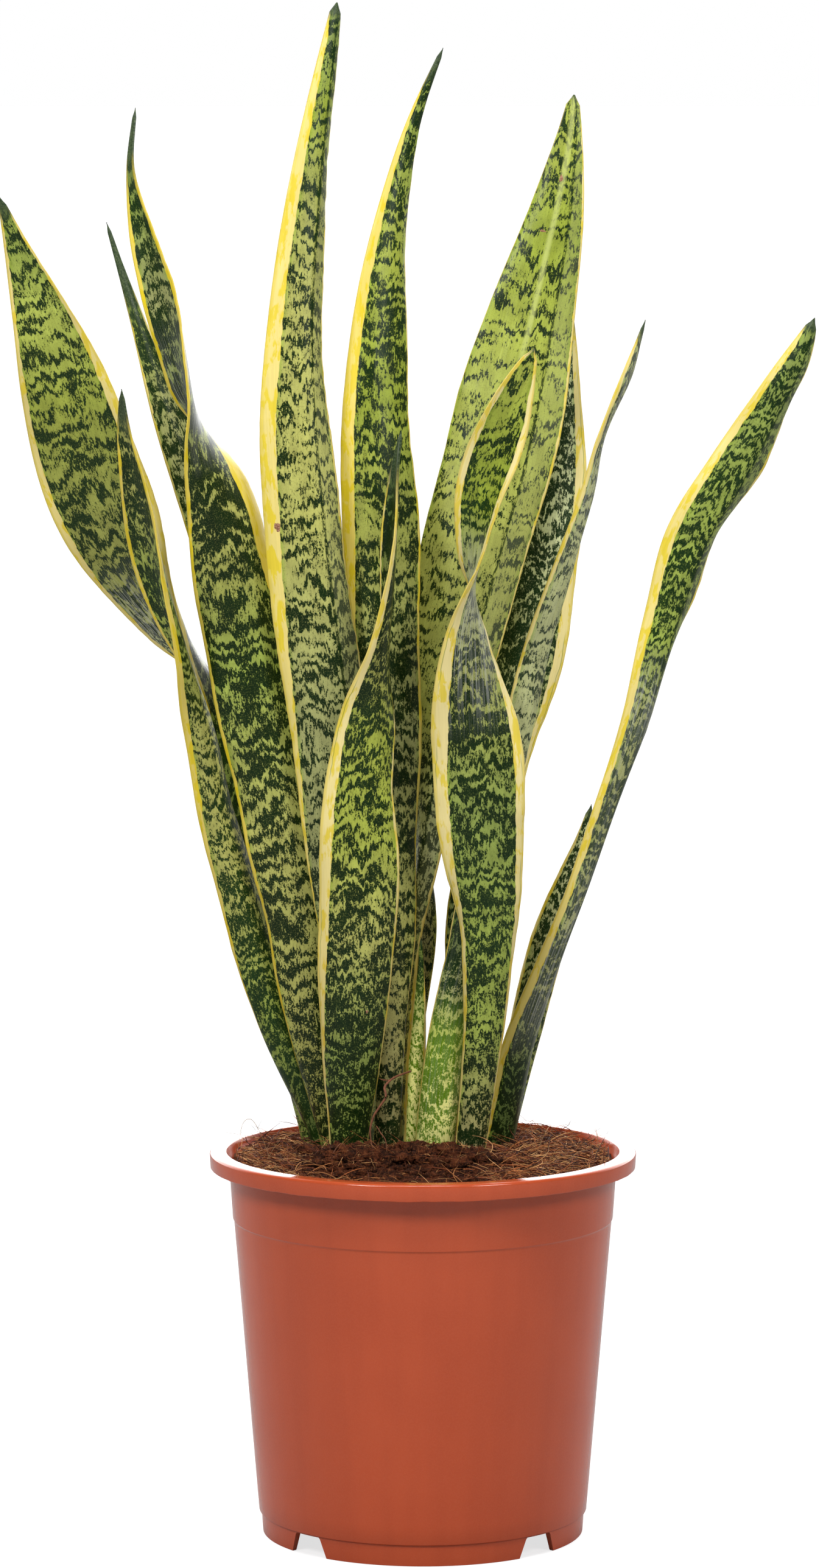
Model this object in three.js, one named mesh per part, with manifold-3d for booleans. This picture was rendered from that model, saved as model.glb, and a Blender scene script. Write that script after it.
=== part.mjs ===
// A potted snake plant: fourteen stiff upright leaves on one rhizome, in a round plastic nursery pot.
// Millimetres, +Z up. The viewer stands at -Y and looks along +Y, with +X to the right. The floor is
// Z = 0, and the origin lies on it under the middle of the whole plant's spread, so the pot's own axis
// stands POT_X to the right of it. Every size below is measured from the pot's axis.

import * as THREE from "three";
import { mergeVertices } from "three/addons/utils/BufferGeometryUtils.js";
import Module from "manifold-3d";

// ---------------------------------------------------------------- driving dimensions

const POT_X = 5.5; // the pot's axis, right of the origin
const GAP = 0.3; // clearance between pieces that touch
const HOLE_GAP = 0.4; // clearance of the soil's holes round the leaves and the rhizome
const PAST = 1; // how far a cut runs past the face that it opens
const MERGE = 1e-3; // vertices closer than this are one

const POT = {
  rimRadius: 105,
  mouthRadius: 96.8,
  height: 192,
  skirtBottom: 184, // lower edge of the turned-down rim
  skirtWall: 1.8,
  skirtLean: 0.3, // its face leans in by this much towards the lower edge
  rimWall: 2.4, // the rim's flat top
  rimRound: 1.5, // the rim's outer and inner edges
  rimFillet: 4, // under the rim, where the body flares into it
  throatDepth: 2, // the mouth narrows to the body's wall this far below the rim's underside
  throatStep: 0.4,
  neckRadius: 95.4, // body just under the rim
  ringZ: 157.5, // upper moulded ring line
  ringRadius: 93.7,
  ringStep: 0.7,
  lineHeight: 0.7, // height of the step at each ring line
  footTop: 11, // lower ring line, level with the underside of the floor
  footTopRadius: 81.1,
  footStep: 1.2,
  footRadius: 79.2,
  footWidth: 2.6,
  wall: 1.6,
  floor: 2,
  cornerRise: 3, // slope from the floor into the wall, inside
  cornerRun: 2,
  sides: 60,
};

const NOTCHES = {
  angles: [45, 135, 225, 315],
  topWidth: 16.8,
  bottomWidth: 23.7,
  roof: 0.9, // what is left above the notch
  inside: 6, // the cut reaches this far inside the foot ring
  outside: 8,
};
const DRAIN_HOLES = { radius: 5, ring: 55, count: 6, sides: 12 };

const SOIL = {
  edgeZ: 182.5, // where the soil meets the wall
  moundZ: 190, // round the leaves
  moundX: -4,
  moundY: 12,
  moundRadius: 62,
  lump: { length: 4, height: 0.7 }, // small waves of the surface
  swell: { length: 12, height: 0.9 }, // broad ones
  edgeDepth: 4, // the wall's radius is taken this far below the surface's edge
  edgeGap: 0.7, // clearance to the wall, which comes closer at the middle of its facets
  bottomRun: 3.5, // the fill's lower edge is cut back by this much
  rings: 8,
  sides: 44,
};

const ROOT_Z = 150; // the leaves' lower ends, on the rhizome
const RHIZOME = {
  rodRadius: 7.5,
  rodZ: 137,
  rodSides: 8,
  rodCapRings: 2,
  crownBottom: 136,
  crownSides: 12,
  // Each crown carries one shoot's leaves: x, y and radius, with the crown that it grew from.
  crowns: [
    { x: -49, y: 23, radius: 13, from: 1 },
    { x: -34, y: 26, radius: 8, from: 2 },
    { x: -36, y: 3, radius: 15, from: 3 },
    { x: -12, y: 16, radius: 15, from: 4 },
    { x: 7, y: 12, radius: 14, from: 5 },
    { x: 24, y: 0, radius: 10, from: 4 },
    { x: 40, y: 31, radius: 14, from: 5 },
  ],
};

const BLADE = {
  baseThickness: 4.2,
  midThickness: 3,
  midAt: 0.35, // share of the length where the blade has thinned to midThickness
  tipThickness: 1.3,
  edgeThickness: 0.9,
  edgeSlope: 0.25, // a narrow blade is no thicker than its edge and this share of its width
  leastWidth: 1.2,
  leastCup: 3,
  rippleFrom: 230, // the margins are flat up to this height
  rippleRise: 60, // and fully waved this far above it
  rippleWidth: 30, // on a blade at least this wide
  rippleLag: 2.1, // the two margins wave out of step, in radians
  strips: 4, // facets across the blade
  step: 21, // length of a facet along the blade
  probe: 0.5, // the midrib's direction is taken over this far to each side
};

// A leaf's path runs from its root to its tip. Each station gives the midrib's x, y and z, the blade's
// width measured flat, its turn and its cup. The turn is the direction across the blade in plan, in
// degrees: at 180 the hollow upper face looks away from the viewer, at 360 towards them. The cup is
// half of the angle that the blade's cross-section bends through. A wave is the height and the length
// of the ripple along both margins.
const LEAVES = {
  leaf_far_left: {
    wave: [1.6, 95],
    path: [
      [-48, 29, 150, 14, 170, 75],
      [-55, 29, 195, 17, 175, 75],
      [-77, 36, 300, 27, 195, 55],
      [-88, 38, 360, 32, 208, 48],
      [-96, 39, 405, 38, 238, 42],
      [-121, 36, 445, 56, 297, 30],
      [-143, 31, 480, 58, 322, 22],
      [-158, 25, 515, 58, 342, 16],
      [-174, 10, 565, 45, 354, 14],
      [-186, -2, 605, 28, 358, 14],
      [-198, -12, 640, 10, 359, 12],
      [-204, -18, 659, 2, 360, 10],
    ],
  },
  leaf_left_front: {
    wave: [0.8, 80],
    path: [
      [-49, 16, 150, 16, 155, 75],
      [-52, 17, 195, 18, 165, 72],
      [-70, 19, 250, 25, 195, 66],
      [-83, 17, 300, 29, 212, 60],
      [-97, 11, 350, 26, 222, 55],
      [-106, 1, 400, 27, 240, 53],
      [-116, -9, 440, 31, 275, 52],
      [-129, -14, 480, 30, 304, 45],
      [-138, -22, 521, 19, 316, 42],
      [-143, -27, 546, 10, 318, 36],
      [-145, -32, 567, 2, 316, 30],
    ],
  },
  leaf_left_back: {
    wave: [0.8, 90],
    path: [
      [-34, 25, 150, 14, 170, 75],
      [-38, 26, 195, 17, 175, 75],
      [-50, 43, 300, 22, 180, 50],
      [-71, 50, 400, 24, 184, 35],
      [-105, 54, 499, 28, 190, 30],
      [-124, 62, 548, 22, 195, 25],
      [-141, 70, 598, 10, 200, 30],
      [-156, 76, 644, 2, 205, 30],
    ],
  },
  leaf_left_twisted: {
    wave: [1.2, 70],
    path: [
      [-45, 8, 150, 16, 180, 75],
      [-46, 7, 195, 18, 182, 72],
      [-53, 7, 248, 30, 185, 55],
      [-57, 6, 300, 42, 188, 42],
      [-66, 5, 350, 45, 190, 37],
      [-77, 4, 400, 45, 192, 34],
      [-90, 0, 470, 44, 200, 26],
      [-96, -3, 510, 43, 220, 24],
      [-106, -4, 540, 38, 248, 26],
      [-114, -4, 565, 32, 288, 30],
      [-120, -3, 588, 27, 308, 32],
      [-129, 4, 618, 21, 322, 30],
      [-136, 9, 642, 15, 330, 28],
      [-142, 15, 672, 5, 320, 30],
      [-140, 22, 701, 2, 320, 30],
    ],
  },
  leaf_tallest: {
    wave: [0.8, 110],
    path: [
      [-30, 5, 150, 15, 180, 72],
      [-31, 3, 195, 17, 180, 70],
      [-32, -5, 248, 28, 181, 57],
      [-34, -10, 300, 38, 184, 45],
      [-45, -11, 400, 42, 188, 38],
      [-57, -8, 500, 41, 194, 34],
      [-60, -4, 540, 38, 198, 33],
      [-60.5, 4, 590, 31, 204, 33],
      [-55, 18, 659, 22, 210, 33],
      [-47, 31, 719, 12, 208, 30],
      [-42, 38, 752, 5, 205, 20],
    ],
  },
  leaf_tall_centre: {
    wave: [0.8, 100],
    path: [
      [-17, 11, 150, 14, 180, 80],
      [-17.5, 10, 195, 15, 180, 80],
      [-17.5, 6, 248, 22, 181, 62],
      [-17, 5, 300, 30, 183, 48],
      [-18, 5, 350, 35, 185, 42],
      [-18, 7, 400, 38, 186, 38],
      [-19, 9, 450, 39, 187, 34],
      [-20, 14, 500, 40, 190, 32],
      [-22, 25, 559, 35, 195, 32],
      [-19, 37, 609, 27, 202, 32],
      [-14, 47, 649, 18, 207, 32],
      [-4, 58, 694, 8, 212, 30],
      [10, 67, 730, 2, 215, 30],
    ],
  },
  leaf_front_centre: {
    wave: [0.8, 75],
    path: [
      [-35, -5, 150, 19, 180, 60],
      [-34.5, -8, 195, 24, 180, 56],
      [-35, -13, 230, 31, 180, 50],
      [-34, -17, 265, 37, 180, 43],
      [-32, -19, 300, 41, 181, 38],
      [-31, -19, 340, 41, 183, 36],
      [-30, -18, 375, 36, 190, 36],
      [-25, -17, 405, 33, 210, 38],
      [-18, -18, 440, 28, 250, 42],
      [-15, -20, 471, 24, 278, 46],
      [-14, -22, 501, 16, 295, 48],
      [-13, -24, 526, 8, 300, 40],
      [-10.5, -26, 547, 2, 300, 30],
    ],
  },
  leaf_broad_right: {
    wave: [1.0, 120],
    path: [
      [-8, 24, 150, 17, 72, 75],
      [-10, 24, 195, 19, 75, 75],
      [-13, 26.5, 245, 24, 80, 72],
      [-12, 29, 290, 31, 90, 68],
      [-10, 29, 325, 35, 112, 58],
      [-5, 27, 360, 41, 145, 45],
      [4, 27, 405, 49, 169, 33],
      [16, 32, 450, 52, 176, 27],
      [29, 38, 499, 55, 179, 22],
      [36, 42, 524, 56, 180, 20],
      [43, 48, 554, 55, 180, 17],
      [54, 57, 599, 44, 181, 15],
      [67, 67, 654, 26, 182, 12],
      [73, 74, 689, 12, 183, 9],
      [75, 77, 707, 5, 184, 8],
    ],
  },
  leaf_right_back: {
    wave: [1.4, 85],
    path: [
      [7, 18, 150, 15, 180, 75],
      [8, 19, 195, 18, 181, 70],
      [20, 25, 260, 24, 182, 58],
      [26, 30, 310, 28, 183, 48],
      [36, 38, 370, 31, 184, 36],
      [50.5, 47, 424, 37, 184, 30],
      [59, 56, 479, 39, 182, 25],
      [64, 65, 528, 35, 181, 22],
      [69, 73, 573, 18, 180, 18],
      [73, 79, 603, 3, 180, 15],
    ],
  },
  leaf_right_twisted: {
    wave: [0.9, 70],
    path: [
      [24, -3, 150, 16, 180, 62],
      [24.5, -5, 195, 18, 180, 58],
      [27.5, -6, 228, 20, 180, 50],
      [30.5, -8, 260, 23, 180, 42],
      [32, -12, 300, 30, 180, 35],
      [30, -16, 330, 39, 180, 32],
      [28, -19, 360, 46, 180, 30],
      [26, -20, 400, 45, 188, 30],
      [24, -23, 432, 37, 214, 32],
      [24, -26, 463, 29, 254, 35],
      [26, -29, 491, 26, 302, 37],
      [29, -32, 516, 28, 331, 36],
      [36, -36, 541, 27, 346, 33],
      [45, -41, 567, 18, 355, 29],
      [53, -46, 587, 4, 360, 20],
    ],
  },
  leaf_right_narrow: {
    wave: [0.6, 60],
    path: [
      [7, 3, 150, 17, 175, 75],
      [8.5, 2, 195, 20, 176, 70],
      [13, 2, 240, 21, 180, 65],
      [20, 3, 280, 22, 188, 58],
      [30, 5, 325, 22, 195, 50],
      [47, 9, 395, 18, 202, 45],
      [58, 13, 440, 16, 208, 42],
      [71, 18, 480, 13, 218, 36],
      [82, 24, 514, 11, 232, 32],
      [88, 28, 539, 11, 252, 30],
      [102, 36, 574, 9, 266, 30],
      [109.5, 44, 600, 2, 280, 30],
    ],
  },
  leaf_right_leaning: {
    wave: [1.6, 75],
    path: [
      [41, 22, 150, 18, 205, 72],
      [43, 22, 195, 20, 208, 70],
      [52, 21, 240, 19, 211, 66],
      [64, 19, 280, 16, 215, 62],
      [77, 16, 315, 14, 220, 58],
      [91, 15, 355, 15, 222, 54],
      [108, 15, 404, 19, 220, 50],
      [122, 18, 453, 26, 214, 46],
      [134, 22, 488, 31, 211, 43],
      [154, 28, 522, 31, 210, 40],
      [172, 35, 554, 21, 209, 36],
      [186, 41, 582, 12, 207, 30],
      [193, 46, 603, 3, 205, 20],
    ],
  },
  leaf_right_short: {
    wave: [0.4, 60],
    path: [
      [39, 37, 150, 12, 185, 60],
      [41, 37, 195, 14, 185, 55],
      [54, 40, 255, 19, 182, 45],
      [63, 43, 290, 19, 180, 38],
      [73, 46, 317, 15, 180, 32],
      [81, 49, 341, 8, 180, 25],
      [84, 51, 356, 2, 180, 20],
    ],
  },
  leaf_young: {
    wave: [0, 60],
    path: [
      [-5, 5, 150, 5, 185, 40],
      [-5, 4, 195, 5.5, 185, 40],
      [-3, 4, 235, 7.5, 188, 35],
      [-1.5, 5, 262, 6.5, 190, 35],
      [-1, 6, 280, 3.5, 195, 30],
      [-1, 7, 295, 1.8, 195, 20],
    ],
  },
};

// ---------------------------------------------------------------- solids

const wasm = await Module();
wasm.setup();

// A closed geometry as a solid that can be joined and cut.
function solid(geometry) {
  const bare = geometry.clone();
  bare.deleteAttribute("normal");
  bare.deleteAttribute("uv");
  const merged = mergeVertices(bare, MERGE);
  const vertProperties = new Float32Array(merged.attributes.position.array);
  const triVerts = new Uint32Array(merged.index.array);
  return new wasm.Manifold(new wasm.Mesh({ numProp: 3, vertProperties, triVerts }));
}

function geometryOf(body) {
  const mesh = body.getMesh();
  const geometry = new THREE.BufferGeometry();
  geometry.setAttribute("position", new THREE.BufferAttribute(mesh.vertProperties, 3));
  geometry.setIndex(new THREE.BufferAttribute(mesh.triVerts, 1));
  geometry.computeVertexNormals();
  return geometry;
}

function geometryFrom(points, triangles) {
  const geometry = new THREE.BufferGeometry().setFromPoints(points);
  geometry.setIndex(triangles);
  geometry.computeVertexNormals();
  return geometry;
}

// A three.js cylinder stands along Y; this one stands along Z from z0 to z1.
function uprightCylinder(radius, z0, z1, sides, x = 0, y = 0) {
  const geometry = new THREE.CylinderGeometry(radius, radius, z1 - z0, sides);
  return geometry.rotateX(Math.PI / 2).translate(x, y, (z0 + z1) / 2);
}

const mix = (a, b, t) => a + (b - a) * t;
const clamp = (t) => Math.min(1, Math.max(0, t));
const radians = THREE.MathUtils.degToRad;

// ---------------------------------------------------------------- pot

// Outer radius of the pot's tapered body at height z.
function bodyRadius(z) {
  if (z < POT.ringZ) {
    const t = (z - POT.footTop) / (POT.ringZ - POT.footTop);
    return mix(POT.footTopRadius, POT.ringRadius - POT.ringStep, t);
  }
  return mix(POT.ringRadius, POT.neckRadius, (z - POT.ringZ) / (POT.skirtBottom - POT.ringZ));
}

const innerRadius = (z) => bodyRadius(z) - POT.wall;

// The pot's section from the middle of the floor's underside, out and up the outside, over the rim
// and back down the inside.
function potProfile() {
  const p = POT;
  const footInside = p.footRadius - p.footWidth;
  const floorTop = p.footTop + p.floor;
  const skirtInside = p.rimRadius - p.skirtWall;
  const underRim = p.height - p.rimWall;
  const edge = p.rimRound * (1 - Math.SQRT1_2); // the middle of a rounded edge lies this far in
  const fillet = p.rimFillet * (1 - Math.SQRT1_2);
  return [
    [0, p.footTop],
    [footInside, p.footTop],
    [footInside, 0],
    [p.footRadius, 0],
    [p.footTopRadius - p.footStep, p.footTop - p.lineHeight],
    [p.footTopRadius, p.footTop],
    [p.ringRadius - p.ringStep, p.ringZ - p.lineHeight],
    [p.ringRadius, p.ringZ],
    [p.neckRadius, p.skirtBottom],
    [p.neckRadius, underRim - p.rimFillet],
    [p.neckRadius + fillet, underRim - fillet],
    [p.neckRadius + p.rimFillet, underRim],
    [skirtInside, underRim],
    [skirtInside, p.skirtBottom],
    [p.rimRadius - p.skirtLean, p.skirtBottom],
    [p.rimRadius, p.height - p.rimRound],
    [p.rimRadius - edge, p.height - edge],
    [p.rimRadius - p.rimRound, p.height],
    [p.mouthRadius + p.rimRound, p.height],
    [p.mouthRadius, p.height - edge],
    [innerRadius(p.skirtBottom) + p.throatStep, underRim - p.throatDepth],
    [innerRadius(p.skirtBottom), p.skirtBottom],
    [innerRadius(p.ringZ - p.lineHeight), p.ringZ - p.lineHeight],
    [innerRadius(floorTop + p.cornerRise), floorTop + p.cornerRise],
    [innerRadius(floorTop) - p.cornerRun, floorTop],
    [0, floorTop],
  ].map(([r, z]) => new THREE.Vector2(r, z));
}

// A gap through the foot ring, wider at the floor.
function notch(angle) {
  const low = NOTCHES.bottomWidth / 2;
  const high = NOTCHES.topWidth / 2;
  const roofZ = POT.footTop - NOTCHES.roof;
  const shape = new THREE.Shape();
  shape.moveTo(-low, -PAST);
  shape.lineTo(low, -PAST);
  shape.lineTo(low, 0);
  shape.lineTo(high, roofZ);
  shape.lineTo(-high, roofZ);
  shape.lineTo(-low, 0);
  shape.closePath();
  const depth = NOTCHES.inside + NOTCHES.outside;
  const geometry = new THREE.ExtrudeGeometry(shape, { depth, bevelEnabled: false });
  geometry.rotateX(Math.PI / 2); // the shape now stands in XZ and runs along -Y
  geometry.translate(0, -POT.footRadius + NOTCHES.inside, 0);
  return geometry.rotateZ(radians(angle + 90));
}

function pot() {
  const lathe = new THREE.LatheGeometry(potProfile(), POT.sides);
  let body = solid(lathe.rotateX(Math.PI / 2));
  for (const angle of NOTCHES.angles) body = body.subtract(solid(notch(angle)));
  const floorTop = POT.footTop + POT.floor;
  const drain = (x, y) =>
    solid(uprightCylinder(DRAIN_HOLES.radius, 0, floorTop + PAST, DRAIN_HOLES.sides, x, y));
  body = body.subtract(drain(0, 0));
  for (let i = 0; i < DRAIN_HOLES.count; i++) {
    const a = (i * 2 * Math.PI) / DRAIN_HOLES.count;
    body = body.subtract(drain(DRAIN_HOLES.ring * Math.cos(a), DRAIN_HOLES.ring * Math.sin(a)));
  }
  return geometryOf(body);
}

// ---------------------------------------------------------------- leaves

// Distances from the root to each station, along the midrib.
function stationDistances(path) {
  const distances = [0];
  for (let i = 1; i < path.length; i++) {
    const [a, b] = [path[i - 1], path[i]];
    distances.push(distances[i - 1] + Math.hypot(b[0] - a[0], b[1] - a[1], b[2] - a[2]));
  }
  return distances;
}

// Every column of the path at distance d: a cubic through the stations, smooth across them.
function pathAt(path, distances, d) {
  let i = 0;
  while (i < path.length - 2 && d > distances[i + 1]) i++;
  const slope = (k, c) => (path[k + 1][c] - path[k][c]) / (distances[k + 1] - distances[k]);
  const tangent = (k, c) => {
    if (k === 0) return slope(0, c);
    if (k === path.length - 1) return slope(k - 1, c);
    const before = distances[k] - distances[k - 1];
    const after = distances[k + 1] - distances[k];
    return (slope(k - 1, c) * after + slope(k, c) * before) / (before + after);
  };
  const h = distances[i + 1] - distances[i];
  const t = (d - distances[i]) / h;
  return path[i].map(
    (value, c) =>
      (1 + 2 * t) * (1 - t) ** 2 * value +
      t * (1 - t) ** 2 * h * tangent(i, c) +
      t * t * (3 - 2 * t) * path[i + 1][c] +
      t * t * (t - 1) * h * tangent(i + 1, c),
  );
}

// Thickness of the blade over its midrib, thinning from root to tip.
function midThickness(share, width) {
  const b = BLADE;
  const lower = mix(b.baseThickness, b.midThickness, clamp(share / b.midAt));
  const full = mix(lower, b.tipThickness, clamp((share - b.midAt) / (1 - b.midAt)));
  return Math.min(full, b.edgeThickness + b.edgeSlope * width);
}

// The blade as a closed skin. A piece for cutting its hole is grown all round and ends at height top.
function bladeGeometry({ path, wave }, { grow = 0, top = Infinity } = {}) {
  const b = BLADE;
  const distances = stationDistances(path);
  const length = distances[distances.length - 1];
  const count = Math.round(length / b.step);
  const points = [];
  let rings = 0;
  for (let i = 0; i <= count; i++) {
    const d = (length * i) / count;
    const [x, y, z, flat, turn, cup] = pathAt(path, distances, d);
    const ahead = pathAt(path, distances, Math.min(length, d + b.probe));
    const behind = pathAt(path, distances, Math.max(0, d - b.probe));
    const tangent = new THREE.Vector3(ahead[0] - behind[0], ahead[1] - behind[1], ahead[2] - behind[2]);
    if (i === 0) tangent.set(0, 0, 1); // the root's end is level
    tangent.normalize();
    const across = new THREE.Vector3(Math.cos(radians(turn)), Math.sin(radians(turn)), 0);
    across.addScaledVector(tangent, -across.dot(tangent)).normalize();
    const inward = new THREE.Vector3().crossVectors(across, tangent);
    const width = Math.max(flat, b.leastWidth);
    const half = radians(Math.max(cup, b.leastCup));
    const bend = width / (2 * half);
    const origin = new THREE.Vector3(x, y, z);
    if (i === 0) origin.addScaledVector(tangent, -grow);
    const rise = clamp((z - b.rippleFrom) / b.rippleRise);
    const ripple = wave[0] * rise * clamp(width / b.rippleWidth);
    const front = [];
    const back = [];
    for (let j = 0; j <= b.strips; j++) {
      const s = (2 * j) / b.strips - 1;
      const angle = s * half;
      const normal = inward.clone().multiplyScalar(Math.cos(angle));
      normal.addScaledVector(across, -Math.sin(angle));
      const along = across.clone().multiplyScalar(Math.cos(angle));
      along.addScaledVector(inward, Math.sin(angle));
      const middle = origin.clone().addScaledVector(across, bend * Math.sin(angle));
      middle.addScaledVector(inward, bend * (1 - Math.cos(angle)));
      const phase = (2 * Math.PI * d) / wave[1] + (s > 0 ? 0 : b.rippleLag);
      middle.addScaledVector(normal, ripple * Math.sin(phase) * Math.abs(s) ** 3);
      middle.addScaledVector(along, grow * (Math.abs(s) === 1 ? s : 0));
      const round = Math.sqrt(1 - s * s);
      const thickness = mix(b.edgeThickness, midThickness(d / length, width), round);
      front.push(middle.clone().addScaledVector(normal, thickness / 2 + grow));
      back.push(middle.clone().addScaledVector(normal, -thickness / 2 - grow));
    }
    points.push(...front, ...back);
    rings++;
    if (z > top) break;
  }
  return geometryFrom(points, bladeTriangles(rings));
}

// Both faces are split along the same diagonals, so the thin blade keeps its thickness.
function bladeTriangles(rings) {
  const across = BLADE.strips + 1;
  const front = (i, j) => i * 2 * across + j;
  const back = (i, j) => front(i, j) + across;
  const triangles = [];
  const quad = (a, b, c, d) => triangles.push(a, b, c, a, c, d);
  for (let i = 0; i < rings - 1; i++) {
    for (let j = 0; j < BLADE.strips; j++) {
      quad(front(i, j), front(i, j + 1), front(i + 1, j + 1), front(i + 1, j));
      triangles.push(back(i, j), back(i + 1, j + 1), back(i, j + 1));
      triangles.push(back(i, j), back(i + 1, j), back(i + 1, j + 1));
    }
    quad(back(i, 0), front(i, 0), front(i + 1, 0), back(i + 1, 0));
    quad(front(i, across - 1), back(i, across - 1), back(i + 1, across - 1), front(i + 1, across - 1));
  }
  const last = rings - 1;
  for (let j = 0; j < BLADE.strips; j++) {
    quad(back(0, j), back(0, j + 1), front(0, j + 1), front(0, j));
    quad(front(last, j), front(last, j + 1), back(last, j + 1), back(last, j));
  }
  return triangles;
}

// ---------------------------------------------------------------- rhizome

// The underground stem: a rod from shoot to shoot, with a crown that the shoot's leaves stand on.
function rhizomeSolid(grow = 0) {
  const { rodRadius, rodZ, rodSides, rodCapRings, crownBottom, crownSides, crowns } = RHIZOME;
  const top = ROOT_Z - GAP + grow;
  const pieces = [];
  for (const { x, y, radius, from } of crowns) {
    pieces.push(solid(uprightCylinder(radius + grow, crownBottom - grow, top, crownSides, x, y)));
    const run = new THREE.Vector3(crowns[from].x - x, crowns[from].y - y, 0);
    const rod = new THREE.CapsuleGeometry(rodRadius + grow, run.length(), rodCapRings, rodSides);
    rod.rotateZ(-Math.PI / 2).rotateZ(Math.atan2(run.y, run.x));
    pieces.push(solid(rod.translate(x + run.x / 2, y + run.y / 2, rodZ)));
  }
  return wasm.Manifold.union(pieces);
}

// ---------------------------------------------------------------- soil

// Height of the soil's lumpy surface: a mound round the leaves that falls away to the wall.
function soilZ(x, y) {
  const { lump, swell } = SOIL;
  const away = Math.hypot(x - SOIL.moundX, y - SOIL.moundY) / SOIL.moundRadius;
  const mound = (SOIL.moundZ - SOIL.edgeZ) * Math.exp(-(away ** 3));
  const bent = x / lump.length + 2 * Math.sin((2 * y) / (3 * lump.length));
  const lumps = lump.height * Math.sin(bent) * Math.sin((y + x / 2) / lump.length);
  const swells = swell.height * Math.sin(x / swell.length + 1) * Math.cos(y / swell.length);
  return SOIL.edgeZ + mound + lumps + swells;
}

// The fill of the pot: a lumpy top, a side that follows the wall and a flat bottom on the floor.
function soilSolid() {
  const s = SOIL;
  const bottom = POT.footTop + POT.floor + GAP;
  const cornerTop = bottom + POT.cornerRise;
  const lineZ = POT.ringZ - POT.lineHeight;
  const ringAt = (radius, height) =>
    Array.from({ length: s.sides }, (_, k) => {
      const a = (2 * Math.PI * k) / s.sides;
      const [x, y] = [radius * Math.cos(a), radius * Math.sin(a)];
      return new THREE.Vector3(x, y, height(x, y));
    });
  const edge = innerRadius(s.edgeZ - s.edgeDepth) - s.edgeGap;
  const rings = [];
  for (let i = 1; i <= s.rings; i++) rings.push(ringAt((edge * i) / s.rings, soilZ));
  rings.push(ringAt(innerRadius(lineZ) - s.edgeGap, () => lineZ));
  rings.push(ringAt(innerRadius(cornerTop) - s.edgeGap, () => cornerTop));
  rings.push(ringAt(innerRadius(bottom) - s.bottomRun, () => bottom));
  const points = [new THREE.Vector3(0, 0, soilZ(0, 0)), ...rings.flat()];
  points.push(new THREE.Vector3(0, 0, bottom));
  const at = (i, k) => 1 + i * s.sides + (k % s.sides);
  const triangles = [];
  for (let k = 0; k < s.sides; k++) {
    triangles.push(0, at(0, k), at(0, k + 1));
    for (let i = 0; i < rings.length - 1; i++) {
      triangles.push(at(i, k), at(i + 1, k), at(i + 1, k + 1));
      triangles.push(at(i, k), at(i + 1, k + 1), at(i, k + 1));
    }
    triangles.push(points.length - 1, at(rings.length - 1, k + 1), at(rings.length - 1, k));
  }
  return solid(geometryFrom(points, triangles));
}

// The leaves and the rhizome stand in plain holes of their own shape.
function soil() {
  let body = soilSolid().subtract(rhizomeSolid(HOLE_GAP));
  for (const leaf of Object.values(LEAVES)) {
    body = body.subtract(solid(bladeGeometry(leaf, { grow: HOLE_GAP, top: POT.height })));
  }
  return geometryOf(body);
}

// ---------------------------------------------------------------- assembly

const terracottaPlastic = new THREE.MeshStandardMaterial({ color: 0xa5503a, roughness: 0.38, metalness: 0 });
const coirSoil = new THREE.MeshStandardMaterial({ color: 0x4a2f20, roughness: 1, metalness: 0 });
const rootSkin = new THREE.MeshStandardMaterial({ color: 0xd9a36a, roughness: 0.7, metalness: 0 });
const leafSkin = new THREE.MeshStandardMaterial({ color: 0x5f7d3a, roughness: 0.45, metalness: 0 });

const plant = new THREE.Group();
plant.position.x = POT_X;

function add(name, geometry, material) {
  const mesh = new THREE.Mesh(geometry, material);
  mesh.name = name;
  plant.add(mesh);
}

add("pot", pot(), terracottaPlastic);
add("soil", soil(), coirSoil);
add("rhizome", geometryOf(rhizomeSolid()), rootSkin);
for (const [name, leaf] of Object.entries(LEAVES)) {
  add(name, bladeGeometry(leaf), leafSkin);
}

const root = new THREE.Group();
root.add(plant);
export default root;
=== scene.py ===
"""The looks of a potted snake plant: banded leaves with yellow margins in a plastic nursery pot.

Lengths are in millimetres, measured from the pot's own axis. to_frame brings them into the frame of
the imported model, where +Z is up and the viewer looks along +Y with +X to the right.
"""

import math
import random
from dataclasses import dataclass
from types import SimpleNamespace as Named

import bmesh
import bpy
import numpy as np
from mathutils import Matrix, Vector, noise


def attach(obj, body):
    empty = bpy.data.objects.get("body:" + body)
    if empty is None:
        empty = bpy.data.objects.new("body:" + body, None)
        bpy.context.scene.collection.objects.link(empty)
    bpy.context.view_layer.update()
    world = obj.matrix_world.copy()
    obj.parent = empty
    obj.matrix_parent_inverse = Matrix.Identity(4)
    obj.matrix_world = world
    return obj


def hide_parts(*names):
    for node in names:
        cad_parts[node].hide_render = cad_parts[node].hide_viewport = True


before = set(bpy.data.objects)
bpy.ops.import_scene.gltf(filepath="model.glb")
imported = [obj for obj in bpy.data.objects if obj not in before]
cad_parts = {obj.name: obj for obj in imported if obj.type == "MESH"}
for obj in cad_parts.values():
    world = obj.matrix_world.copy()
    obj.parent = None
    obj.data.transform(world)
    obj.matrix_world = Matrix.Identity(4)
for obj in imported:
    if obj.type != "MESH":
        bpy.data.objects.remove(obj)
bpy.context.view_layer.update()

MM = 0.001
POT_X = 5.5  # the pot's axis, right of the frame's origin

# ---------------------------------------------------------------- sizes

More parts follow.
